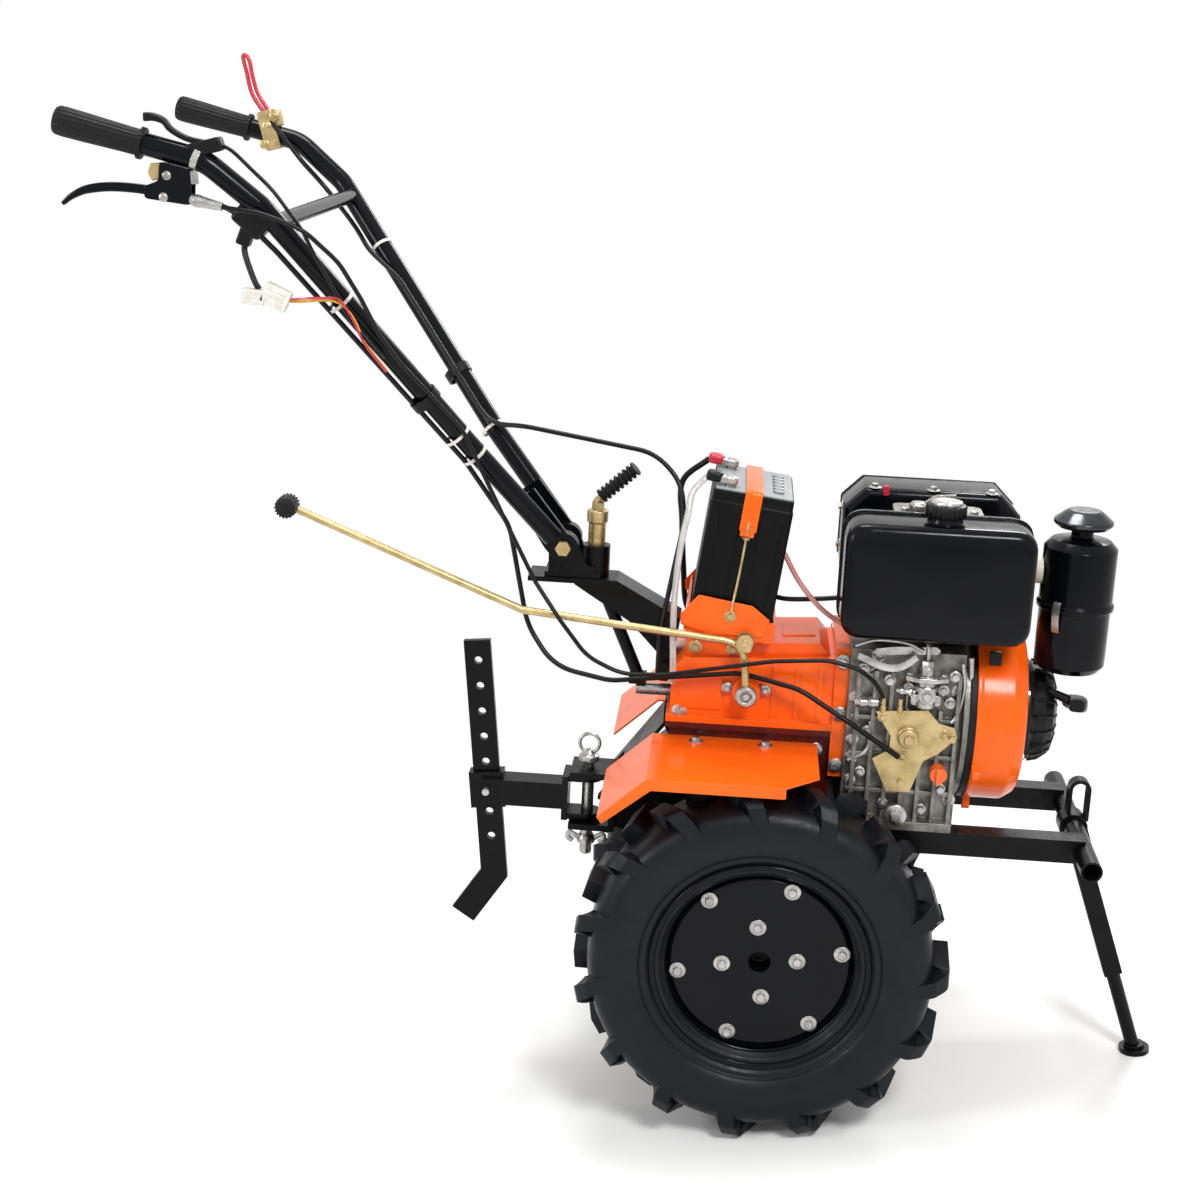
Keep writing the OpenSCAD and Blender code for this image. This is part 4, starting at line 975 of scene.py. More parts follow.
    def switch(self) -> None:
        """Switch box under the right handle, its lead, and the two wires past the plugs."""
        knee, top = self.side(-1)[2:4]
        at = knee + 6 * unit(knee - top) + np.array([-18, 6, -12])
        box = Shell().grid(slab(52, 40, 34, 8, 5, dome=2, tilt=39) + at)
        box.grid(slab(20, 26, 22, 4, 3, tilt=20) + at - np.array([12, 0, 26]))
        box.piece("switch_box", "handlebar", [PLASTIC])
        lead = [at - np.array([14, 0, 36]), [-800, -286, 1062], [-792, -292, 1042], [-782, -298, 1022],
                [-776, -300, 1014]]
        wires = Shell().rod(spline(lead, 6), 4.5, 12)
        for k, (mark, dy) in enumerate(((1, -4), (2, 3))):
            tail = [[-742, -300 + dy, 1000 - 3 * k], [-712, -292 + dy, 1003 - 5 * k],
                    [-690, -276 + dy, 1003 - 4 * k], [-668, -262 + dy, 1000 - 6 * k],
                    [-650, -252 + dy, 972], [-634, -238 + dy, 934], [-606, -215 + dy, 892]]
            wires.rod(spline(tail, 6), 1.8, 8, mark=mark)
        wires.piece("switch_wires", "handlebar", [SHEATH, RED, YELLOW])

    def lever_cable(self) -> None:
        """Cable of the upper lever, and the stepped steel stop of the clutch's cable."""
        route = [[-826, -309, 1212], [-810, -311, 1204], [-783, -314, 1181], [-754, -316, 1155],
                 [-733, -315, 1129], [-713, -308, 1100], [-696, -298, 1063], [-680, -280, 1028],
                 [-668, -258, 998], [-650, -246, 962], [-610, -222, 910]]
        shell = Shell().rod(spline(route, 8), 2.8, 12)
        steps = [1, 1, 1.15, 1.15, 1, 1, 0.92, 0.92, 0.85, 0.8, 0.75, 0.7]
        stop = np.linspace([-869, -316, 1136.5], [-824, -318, 1128], len(steps))
        shell.rod(stop, 8, 18, mark=1, scale=steps)
        shell.piece("lever_cable", "handlebar", [SHEATH, STEEL])

    def plugs(self) -> None:
        """The two ribbed halves of the switch's connector."""
        shell = Shell()
        halves = (((-784, -300, 1003), (32, 22), 4), ((-752, -300, 1004), (40, 30), 24))
        for at, (width, height), tilt in halves:
            shell.grid(slab(width, height, 20, 3, 2, 2, tilt=tilt) + at)
            for k in (-0.3, 0.0, 0.3):
                rib = slab(width * 0.7, 2.5, 22.5, 1, 0.8, 2) + [0, 0, k * height]
                shell.grid(rib @ slant(tilt) + at)
        shell.piece("connectors", "handlebar", [NYLON])

    def build(self) -> None:
        """Makes the tubes, grips, levers and fittings."""
        self.tubes()
        self.grips()
        self.clutch()
        self.upper_lever()
        self.throttle()
        self.bands()
        self.switch()
        self.lever_cable()
        self.plugs()


@dataclass
class Cables:
    """The control cables, whose runs cross the head's swivel and the handles' tilt.

    A cable's cuts are the spans of its route in whose middles it leaves the handles, passes from its
    upper bend to its lower one, and comes to rest on the chassis.
    """

    names: tuple[str, str, str] = ("near", "far", "slim")
    thick: tuple[float, float, float] = (8.0, 8.0, 6.8)
    cuts: tuple[tuple[int, int, int], ...] = ((3, 4, 7), (7, 8, 12), (9, 10, 14))
    bend: float = 90.0
    spacing: float = 7.0
    inset: float = 0.06
    sides: int = 14
    up: tuple[float, float, float] = (0.3, 1.0, 0.2)

    @staticmethod
    def beside(a: Array, b: Array, f: float, h: float, w: Array) -> Array:
        """Point a fraction f from a to b, moved square to that line by h towards w."""
        u = unit(b - a)
        return a + f * (b - a) + h * unit(w - (w @ u) * u)

    def routes(self, handles: Handles) -> tuple[Array, Array, Array]:
        """Corners of the cables: two from the clutch to the control plate, one from throttle to gearbox.

        Args:
            handles: The handles that carry them.

        Returns:
            The corners of the near, far and slim cables.
        """
        r, t, at = handles.side(-1), handles.side(1), self.beside
        near = np.array([
            [-867.3, -310, 1138], at(r[3], r[2], 0.7, 27, -Z), at(r[2], r[1], 0.12, 26, -Z),
            at(r[2], r[1], 0.98, 22, -Z), [-430, -95, 640], [-398, -88, 480], [-352, -110, 420],
            [-261, -116, 404], [-57, -106, 427], [37, -128, 413], [118, -140, 367], [198, -141.3, 316]])
        far = np.array([
            [-898.9, 292.2, 1222], at(t[4], t[3], 0.9, 24, -Y), at(t[3], t[2], 0.3, 28, -Z - Y),
            at(t[3], t[2], 0.8, 28, -Z), at(t[2], t[1], 0.14, 27, -Z), at(t[2], t[1], 0.26, 28, -Z - Y),
            at(t[2], t[1], 0.4, 24, -Y), at(t[2], t[1], 0.98, 22, -Y), [-428, 60, 770], [-214, 40, 742],
            [-168, 24, 700], [-160, 6, 640], [-172, -24, 570], [-188, -60, 470], [-188, -76, 402],
            [-165.3, -76, 402]])
        slim = np.array([
            [-866, -316, 1136], [-819, -318, 1127], [-770, -318, 1122], [-712, -310, 1102],
            [-664, -290, 1056], [-636, -264, 1002], [-614, -232, 946], [-588, -204, 903], [-540, -174, 846],
            [-500, -148, 797], [-436, -108, 652], [-385, -120, 560], [-342, -134, 503], [-298, -134, 447],
            [-242, -130, 420], [-171, -130, 424], [-88, -134, 442], [-6, -134, 458], [77, -134, 465],
            [127, -134, 454], [154, -135, 433], [167, -135, 411], [168, -135, 396]])
        return near, far, slim

    def smooth(self, route: Array) -> Array:
        """The route as one even, softly bent line.

        Args:
            route: Corners of a cable.

        Returns:
            Points at an even spacing.
        """
        line = rounded(route, self.bend, 10)
        far = lengths(line)
        even = np.linspace(0, far[-1], int(far[-1] / self.spacing))
        return np.stack([np.interp(even, far, line[:, k]) for k in range(3)], 1)

    def build(self, handles: Handles) -> None:
        """Cuts each cable at its joints: a run on the handles, two over the joints, and one on the engine.

        Args:
            handles: The handles that carry the cables.
        """
        on_handles, on_engine = Shell(), Shell()
        bends = (("upper", "swivel_head", "handlebar"), ("lower", "chassis", "swivel_head"))
        for name, route, cuts, thick in zip(self.names, self.routes(handles), self.cuts, self.thick):
            line = self.smooth(route)
            skin = sweep(line, circle(thick / 2, self.sides), np.array(self.up))
            middles = [(route[i] + route[i + 1]) / 2 for i in cuts]
            stops = [int(np.argmin(np.linalg.norm(line - m, axis=1))) for m in middles]
            on_handles.grid(skin[:stops[0] + 1])
            on_engine.grid(skin[stops[2]:])
            for (place, a, b), i, j in zip(bends, stops, stops[1:]):
                stands = () if name == "slim" else (f"{place}_cables",)
                run = Shell().grid(skin[i:j + 1])
                run = run.piece(f"{place}_{name}_run", a, [SHEATH], stands, rides=False)
                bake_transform(run)
        on_handles.piece("handle_cable_run", "handlebar", [SHEATH], ("handle_cables",))
        on_engine.piece("engine_cable_run", "chassis", [SHEATH], ("engine_cables",))


@dataclass
class Engine:
    """Tank, exhaust, air filter, starter and the small parts on the engine.

    The pull handle's place is measured up from the crankshaft. The starter's bolts are their count, the
    radius of their ring and its first angle.
    """

    tank: tuple[float, float, float] = (232.0, -122.5, 605.0)
    tank_size: tuple[float, float, float] = (287.0, 125.0, 180.0)
    tank_corner: float = 34.0
    cap_r: float = 31.5
    muffler: tuple[float, float, float] = (238.0, 128.0, 614.0)
    muffler_size: tuple[float, float, float] = (286.0, 124.0, 168.0)
    chamfer: float = 34.0
    filter_at: tuple[float, float, float] = (461.0, -40.0, 553.0)
    crank: float = 363.0
    fan_x: tuple[float, float] = (312.0, 393.0)
    fan_r: float = 148.0
    starter_x: float = 451.0
    louvres: int = 18
    pull_at: tuple[float, float, float] = (474.0, -66.0, 36.0)
    side: float = 128.0
    recess: float = 18.0
    pump_x: float = 233.0
    duct_z: float = 606.0
    starter_bolts: tuple[int, float, float] = (6, 104.0, 0.5)

    @property
    def face(self) -> float:
        """Y of the crankcase's near face, between its ribs."""
        return -self.side + self.recess

    def fuel_tank(self) -> None:
        """Pressed tank: two domed halves joined by a seam, with a neck and a fluted cap."""
        length, depth, height = self.tank_size
        at = np.array(self.tank)
        half = height / 2
        shell = Shell().grid(pillow(soft_rect(length, height, self.tank_corner, 8), depth, 15, 2.0, 6) + at)
        seam = soft_rect(length + 7, height + 7, self.tank_corner + 3, 8)
        shell.grid(pillow(seam, 3.2, 1.4) + at + 26 * Y)
        neck = at + np.array([6, -8, half])
        shell.grid(revolve([[28, 0], [28, 8], [26, 12], [26, 18], [0, 18]], neck - 8 * Z, Z, 40), caps=False)
        for x in (-70, 40):
            foot = np.array([[x - 14, 30 - half], [x + 14, 30 - half], [x + 14, -125], [x - 14, -125]])
            shell.plate(foot + at[[0, 2]], at[1] + depth / 2 - 4, at[1] + depth / 2)
        shell.piece("tank_shell", "chassis", [BLACK], ("fuel_tank",), bevel=0.6)
        base = neck + 8 * Z
        ring = fluted(self.cap_r, 1.6, 24)
        cap = Shell().grid(stack(ring, [0.96, 1, 1, 0.95, 0.86, 0.1], [0, 1.5, 16, 18.5, 19.5, 19.5], base, Z,
                                 (X, Y)))
        cap.lathe([[POLE, 19], [25, 19], [24, 24], [18, 25.5], [POLE, 24.5]], base, Z, 2, 3, 40, 1)
        cap.piece("tank_cap", "chassis", [PLASTIC, STEEL], ("fuel_cap",))

    def exhaust(self) -> None:
        """Muffler box with bevelled ends, rolled seams, a flange, its bolts and a red tag."""
        l, d, h = (v / 2 for v in self.muffler_size)
        at = np.array(self.muffler)
        c = self.chamfer
        box = np.array([[-l, -h + c], [-l + c, -h], [l - c, -h], [l, -h + c], [l, h - c], [l - c, h],
                        [-l + c, h], [-l, h - c]])
        shell = Shell().grid(pillow(outline(box * 0.99, 8, 4), 2 * d, 10, 1.5) + at)
        for y in (-d + 14, d - 14):
            shell.grid(pillow(outline(box, 8, 4), 5, 2) + at + y * Y)
        shell.grid(revolve([[30, -100], [30, -90], [22, -88], [22, -70]], at, Z, 40))
        shell.grid(slab(80, 34, 12, 6, 2) + at + np.array([0, -64, -57]))
        outlet = [[POLE, 6], [13, 6], [13, 16], [15, 16], [15, 0], [POLE, 0]]
        shell.lathe(outlet, at + np.array([l - 4, 20, 10]), X, 1, 2, 32)
        shell.piece("muffler_box", "chassis", [BLACK], ("muffler",), bevel=0.6)
        bolts = Shell()
        for x in (-94, 0, 94):
            bolts.bolt(at + np.array([x, -d + 14, h]), Z, 11)
        for z in (-20, 44):
            bolts.bolt(at + np.array([-l, -20, z]), -X, 10)
        bolts.grid(slab(10, 17, 8, 3, 2) + np.array([161, at[1] - d - 2.5, at[2] + h - 1]), 1)
        bolts.piece("muffler_bolts", "chassis", [STEEL, RED])

    def air_cleaner(self) -> None:
        """Oil-bath filter turned from two lines, its cap and clips, and the inlet duct."""
        at = np.array(self.filter_at)
        body = [[POLE, 0], [57, 0], [60, -3], [60, 5], [57, 8], [57, 94], [46, 106], [20, 109], [17, 112],
                [17, 124], [POLE, 124]]
        cap = [[POLE, 122], [17, 122], [40, 126], [46, 132], [46, 137], [29, 151], [24, 153.5],
               [POLE, 153.5]]
        shell = Shell().lathe(body, at, Z, 3.5, 4, 72).lathe(cap, at, Z, 3.0, 4, 72, 1)
        shell.piece("filter_body", "chassis", [BLACK, CHROME], ("air_filter",))
        cup = [[POLE, -104], [46, -104], [55, -93], [55.5, -40], [55.5, -4], [58, -3.6], [58, -0.4],
               [POLE, -0.4]]
        shell = Shell().lathe(cup, at, Z, 4, 4, 72)
        for a in (-2.2, 0.4, 2.4):
            d = np.array([math.cos(a), math.sin(a), 0])
            clip = [at + r * d + z * Z for r, z in ((57, -34), (60, -24), (62.5, -4), (62, 8), (58.5, 14))]
            shell.grid(sweep(spline(clip, 5), rect(2.2, 12), d), 1)
        shell.piece("filter_bowl", "chassis", [BLACK, STEEL], ("filter_cup",))
        z = self.duct_z
        path = rounded([[292.5, 0, z], [352, 0, z], [392, at[1], z], [404, at[1], z]], 34, 10)
        duct = Shell().rod(path, 21, 32, Z)
        duct.grid(slab(70, 56, 8, 14, 2, 5, facing=Facing.ALONG_X) + [296.5, 0, z])
        duct.piece("inlet_duct", "chassis", [DUCT], ("inlet_pipe",))

    def starter(self) -> None:
        """Recoil starter: a stepped cover with louvres, and its T handle."""
        x0, x1 = self.fan_x[1], self.starter_x
        axis = np.array([0, 0, self.crank])
        cover = [[POLE, x1], [44, x1], [66, x1 - 8], [76, x1 - 22], [80, x0 + 16], [86, x0 + 10],
                 [86, x0 + 0.2], [76, x0 + 0.2], [POLE, x0 + 4]]
        shell = Shell().lathe(cover, axis, X, 4, 4, 96)
        for a in 2 * math.pi * (np.arange(self.louvres) + 0.5) / self.louvres:
            d = np.array([0, math.cos(a), math.sin(a)])
            line = ((x1 - 2, 46), (x1 - 9, 67), (x1 - 24, 77.5), (x0 + 20, 80.5))
            rib = [axis + x * X + r * d for x, r in line]
            shell.grid(sweep(rib, soft_rect(5, 6, 1.4, 2), np.cross(d, X)))
        hub = [[POLE, x1 - 4], [30, x1 - 4], [30, x1 - 0.5], [24, x1 - 0.2], [POLE, x1 - 0.2]]
        shell.lathe(hub, axis, X, 1, 2, 48)
        shell.piece("starter_cover", "chassis", [PLASTIC], ("recoil_starter",))
        b = axis + np.array(self.pull_at)
        path = spline(b + np.array([[-4, -36, 7], [1, -20, 4], [3, 0, 0], [1, 20, -4], [-4, 36, -7]]), 6)
        u = np.linspace(-1, 1, len(path))
        grip = Shell().grid(sweep(path, soft_rect(30, 24, 9, 4), X, 0.62 + 0.38 * np.sqrt(1 - 0.8 * u**2)))
        neck = np.linspace([x0 + 40, -52, self.crank + 50], b, 6)
        grip.rod(neck, 7, 18, Z, scale=np.linspace(0.8, 1.25, 6))
        grip.piece("starter_handle", "chassis", [PLASTIC], ("recoil_handle",))

    def fan_shroud(self) -> None:
        """Fan housing turned from one line with a rolled shoulder, its ears and its clip."""
        x0, x1 = self.fan_x
        r = self.fan_r
        line = [[r - 4, x0 + 0.1], [r, x0 + 0.1], [r, x0 + 6], [r - 1.2, x0 + 9], [r - 1.2, x1 - 22],
                [r - 13, x1 - 3], [r - 22, x1], [74, x1], [74, x1 - 16], [r - 14, x1 - 17], [r - 5, x1 - 30]]
        shell = Shell().lathe(line, [0, 0, self.crank], X, 11, 6, 120, closed=True)
        ear = slab(16, 26, 12, 6, 1.5, 4, facing=Facing.ALONG_X)
        for a in (-2.75, -2.0, 0.5):
            d = np.array([0, math.sin(a), math.cos(a)])
            axes = np.stack([X, np.cross(d, X), d])
            shell.grid(ear @ axes + np.array([x0 + 6, 0, self.crank]) + (r + 5) * d)
        shell.piece("fan_shroud", "chassis", [ORANGE], ("fan_housing",))
        clip = slab(18, 22, 12, 3, 1.5) + np.array([x0 + 26, -100.0, self.crank + 112])
        Shell().grid(clip).piece("shroud_clip", "chassis", [PLASTIC])

    def injection(self) -> None:
        """Injection pump: flanged trunk, delivery valve with its nut, and the high-pressure pipe."""
        x, y = self.pump_x, self.face
        axis_y = y - 14
        trunk = [[POLE, 0], [13, 0], [17, 4], [17, 12], [15, 14], [15, 26], [19, 29], [19, 36], [15, 39],
                 [15, 48], [POLE, 48]]
        shell = Shell().lathe(trunk, [x, y - 13.2, 394], Z, 1.2, 2, 40)
        shell.grid(slab(48, 18, 20, 6, 2) + [x, y - 11, 408])
        ears = outline([[-34, -5], [-14, -15], [14, -15], [34, -5], [34, 5], [14, 15], [-14, 15],
                        [-34, 5]], 4)
        shell.grid(Facing.ALONG_Z.lay(pillow(ears, 8, 1.5)) + [x, axis_y, 442])
        for s in SIDES:
            shell.bolt([x + 27 * s, axis_y, 446], Z, 9)
        steps = [1, 1, 1.5, 1.5, 1, 1, 1.3, 1.3, 0.9, 0.8]
        inlet = np.linspace([x - 17, y - 13.2, 418], [x - 47, y - 15, 421], len(steps))
        shell.rod(inlet, 5.5, 18, Z, scale=steps)
        shell.bolt([x, y - 30, 418], -Y, 14)
        valve = np.array([x - 1, axis_y, 440])
        body = [[POLE, 0], [14, 0], [14, 8], [11, 10], [11, 20], [9, 24], [POLE, 24]]
        shell.lathe(body, valve, Z, 1, 2, 32)
        nut = [[0, 18], [10.5, 18], [10.5, 30], [8, 33], [0, 33]]
        shell.grid(revolve(nut, valve, Z, 6), caps=False)
        pipe = [[x - 1, axis_y, 470], [x - 1, axis_y, 492], [x - 5, y - 4, 503], [x - 1, -58, 502]]
        shell.rod(rounded(pipe, 16, 6), 3.4, 12, X)
        for s in SIDES:
            shell.bolt([x + 27 * s, y - 11, 424], -Y, 9)
        shell.piece("pump_and_pipe", "chassis", [STEEL], ("injection_pump",))

    def bolts(self) -> None:
        """Gasket behind the fan housing, and the bolts of the crankcase, plate, sump and starter."""
        ring = [[140, 301], [146.2, 301], [146.2, 311.7], [140, 311.7]]
        gasket = Shell().lathe(ring, [0, 0, self.crank], X, 1, 2, 96, closed=True)
        gasket.piece("fan_gasket", "chassis", [RUBBER])
        shell = Shell()
        for x, z in ((157, 470), (150, 440), (126, 400), (126, 330), (126, 300), (126, 262), (284, 240),
                     (284, 420)):
            shell.bolt([x, self.face, z], -Y, 11)
        for x, z in ((168, 379), (266, 356), (204, 318)):
            shell.bolt([x, -self.side - 9, z], -Y, 8, 1)
        shell.lathe([[POLE, 0], [16, 0], [16, 12], [POLE, 12]], [200, -136, 222], -Y, 2, 2, 32)
        shell.bolt([200, -148, 222], -Y, 17)
        count, r, start = self.starter_bolts
        for a in angles(count, start):
            shell.bolt([self.fan_x[1], r * math.cos(a), self.crank + r * math.sin(a)], X, 9)
        shell.piece("engine_bolts", "chassis", [STEEL, ZINC])

    def linkage(self) -> None:
        """Governor lever, stop strip, plug, studs, pipes and rod on the crankcase's near side."""
        y = -self.side
        arm = spline([[124, y + 3, 473], [140, y - 2, 468], [158, y - 3, 461], [178, y - 3, 458],
                      [196, y - 3, 464], [214, y + 2, 477]], 6)
        shell = Shell().grid(sweep(arm, soft_rect(12, 3.4, 1.2, 2), Z))
        strip = outline([[152, 474], [246, 480], [252, 486], [244, 492], [180, 489], [150, 484]], 3)
        shell.plate(strip, y + 10, y + 13)
        steps = [0.7, 0.7, 1, 1, 0.85, 0.85, 1.05, 1.05, 0.9, 0.9, 0.5, 0.5]
        plug = np.linspace([124, y + 3, 397], [168, y + 3, 399], len(steps))
        shell.rod(plug, 9.5, 24, Z, scale=steps)
        stud = [[POLE, 0], [9, 0], [9, 12], [6, 13], [6, 22], [POLE, 22]]
        for x, z in ((134, 452), (176, 436), (276, 448), (272, 404), (146, 350), (140, 282), (268, 262),
                     (180, 232), (240, 226)):
            shell.lathe(stud, [x, y + 17, z], -Y, 1, 2, 20)
            shell.bolt([x, y + 4, z], -Y, 9)
        for route in (((118, 489), (150, 500), (196, 498), (224, 486)),
                      ((286, 470), (292, 430), (286, 390), (276, 372)),
                      ((120, 300), (146, 316), (152, 340), (150, 368))):
            shell.rod(spline(upright(route, y + 4), 8), 3.2, 12)
        shell.rod(np.linspace([299, y + 12, 478], [309, y + 12, 332], 8), 4.5, 14)
        shell.piece("governor_linkage", "chassis", [STEEL])

    def plate_fittings(self) -> None:
        """Cable ends and the pivot on the control plate."""
        y = -self.side
        shell = Shell()
        for x in (168, 194):
            end = [[POLE, 0], [5, 0], [5, 8], [3.6, 9], [3.6, 22], [POLE, 22]]
            shell.lathe(end, [x, y - 7.5, 388], Z, 0.8, 2, 20)
        hub = [[9, 0], [17, 0], [17, 4], [15, 6], [9, 6]]
        shell.lathe(hub, [210, y - 7.4, 349], -Y, 1.2, 2, 40, closed=True)
        shell.bolt([210, y - 22, 349], -Y, 15)
        shell.piece("plate_fittings", "chassis", [ZINC])

    def rocker_fittings(self) -> None:
        """Bolts, decompression lever and filler on the valve cover."""
        shell = Shell()
        for x in (186, 294):
            shell.bolt([x, -24, 683], Z, 12)
        lever = rounded([[210, -30, 690], [232, -36, 708], [262, -40, 712]], 12, 5)
        shell.grid(sweep(lever, soft_rect(8, 14, 2, 2), Y))
        shell.lathe([[POLE, 0], [15, 0], [15, 14], [11, 18], [POLE, 18]], [206, -28, 683], Z, 2, 2, 32)
        shell.piece("rocker_fittings", "chassis", [STEEL])

    def build(self) -> None:
        """Makes every engine piece."""
        self.fuel_tank()
        self.exhaust()
        self.air_cleaner()
        self.starter()
        self.fan_shroud()
        self.injection()
        self.bolts()
        self.linkage()
        self.plate_fittings()
        self.rocker_fittings()


@dataclass
class Battery:
    """Starter battery with its lid, terminals, leads and hold-down. Its own frame leans with it."""

    size: tuple[float, float, float] = (129.0, 197.0, 228.0)
    foot: tuple[float, float, float] = (-80.0, 0.0, 488.0)
    lean: float = math.radians(7.0)
    cells: int = 6
    ribs: tuple[float, ...] = (-0.375, -0.125, 0.125, 0.375)
    post_in: tuple[float, float] = (26.0, 30.0)
    rod_r: float = 2.2

    def leaned(self, points: ArrayLike) -> Array:
        """Battery coordinates, from the middle of its foot, in the machine's frame."""
        return pitched(points, self.lean) + self.foot

    def tier(self, length: float, width: float, low: float, high: float, edge: float) -> Array:
        """A rounded block between two heights of the battery."""
        block = slab(length, width, high - low, 5, edge, facing=Facing.ALONG_Z)
        return self.leaned(block + (low + high) / 2 * Z)

    def case(self) -> None:
        """Case with moulded ribs, and the grey lid with its cell caps."""
        l, w, h = self.size
        shell = Shell().grid(self.tier(l, w, 0, h - 20, 2.5))
        shell.grid(self.tier(l - 3, w - 3, h - 22, h - 3, 2))
        shell.grid(self.tier(l - 8, w - 8, h - 5, h - 0.4, 1.5), 1)
        for s in SIDES:
            for k in self.ribs:
                rib = slab(3, h - 90, 2.4, 1.2, 0.8, 2)
                shell.grid(self.leaned(rib + [k * l, s * (w / 2 - 0.2), h / 2 + 6]))
        cap = rounded([[POLE, 0], [9, 0], [9, 3], [6, 4], [POLE, 4]], 1, 2)
        for y in np.linspace(40 - w / 2, w / 2 - 40, self.cells):
            shell.grid(self.leaned(revolve(cap, [38, y, h - 0.6], Z, 24)), 1)
        shell.piece("battery_box", "chassis", [CASE, LID], ("battery",))

    def posts(self) -> None:
        """Terminal posts with their clamps, bolts and covers."""
        l, w, h = self.size
        x, y = self.post_in
        shell = Shell()
        post = rounded([[POLE, 0], [9, 0], [8, 16], [POLE, 16]], 1, 2)
        clamp = slab(34, 24, 11, 8, 2, facing=Facing.ALONG_Z)
        cover = slab(26, 26, 16, 7, 5, dome=1, facing=Facing.ALONG_Z)
        for s, mark in ((-1, 1), (1, 2)):
            at = np.array([-l / 2 + x, s * (w / 2 - y), h - 1])
            shell.grid(self.leaned(revolve(post, at, Z, 24)))
            shell.grid(self.leaned(clamp + at + np.array([-6, 0, 10])))
            shell.bolt(self.leaned(at + np.array([-18, 0, 14])), Z, 9)
            shell.grid(self.leaned(cover + at + np.array([-26, 0, 12])), mark)
        shell.piece("battery_posts", "chassis", [STEEL, SHEATH, RED])

    def leads(self) -> None:
        """Sleeved lead, plain leads and the pink hose behind the battery."""
        l, w, h = self.size
        right, left = (self.leaned([-l / 2 - 12, s * (w / 2 - self.post_in[1]), h + 8]) for s in SIDES)
        sleeve = [right, [-148, -86, 708], [-153, -102, 676], [-161, -112, 628], [-166, -113, 560],
                  [-166, -111, 490], [-163, -106, 424], [-166, -96, 402]]
        earth = [left, [-168, 80, 690], [-166, 100, 620], [-160, 112, 540], [-150, 112, 470],
                 [-120, 100, 462]]
        hose = [[-14, -60, 640], [0, -62, 615], [30, -66, 566], [70, -66, 524], [120, -64, 494]]
        power = [[-20, -40, 540], [10, -50, 537], [60, -56, 542], [112, -58, 548], [168, -58, 548]]
        shell = Shell()
        runs = ((sleeve, 5, 16, 1), (earth, 5, 14, 0), (hose, 4, 12, 2), (power, 4, 12, 0))
        for route, radius, sides, mark in runs:
            shell.rod(spline(route), radius, sides, mark=mark)
        shell.piece("battery_leads", "chassis", [SHEATH, HOSE, PINK])

    def hold_down(self) -> None:
        """Strap bent over the lid, two hooked rods with their nuts, and the tray's side plates."""
        w, h = self.size[1:]
        wall = w / 2
        along = self.leaned(X) - np.array(self.foot)
        y, drop = wall + 3.5, h - 60
        line = rounded([[0, -y, drop], [0, -y, h + 2.5], [0, y, h + 2.5], [0, y, drop]], 7, 5)
        strap = Shell().grid(sweep(self.leaned(line), soft_rect(27, 3, 1.2, 2), along))
        side = outline([[-76, 4], [-79, 20], [-56, 56], [30, 53], [60, 35], [54, 6], [-30, -4]], 3)
        rods, plates = Shell(), Shell()
        for s in SIDES:
            tongue = rounded([[0, s * y, drop + 4], [0, s * y, drop - 4], [0, s * (y + 7), drop - 6]], 3, 4)
            strap.grid(sweep(self.leaned(tongue), soft_rect(22, 3, 1.2, 2), along))
            plates.grid(self.leaned([upright(side, s * (wall + 6.2)), upright(side, s * (wall + 9.2))]))
            hook = [[x, s * (wall + out), z] for x, out, z in (
                (0, 4, h - 44), (0, 4.4, h / 2), (-1, 7, 66), (-2, 12, 54), (-2, 12.4, 40), (-2, 9, 34))]
            rods.rod(self.leaned(spline(hook, 6)), self.rod_r, 12, X)
            rods.bolt(self.leaned([0, s * (wall + 6), drop - 8]), -Z, 9)
            rods.bolt(self.leaned([-2, s * (wall + 9.2), 30]), s * Y, 9)
        strap.piece("battery_strap", "chassis", [ORANGE], ("battery_clamp",), bevel=0.4)
        plates.piece("tray_side_plates", "chassis", [ORANGE], bevel=0.8)
        rods.piece("battery_rods", "chassis", [ZINC])

    def build(self) -> None:
        """Makes the case, the terminals, the leads and the hold-down."""
        self.case()
        self.posts()
        self.leads()
        self.hold_down()


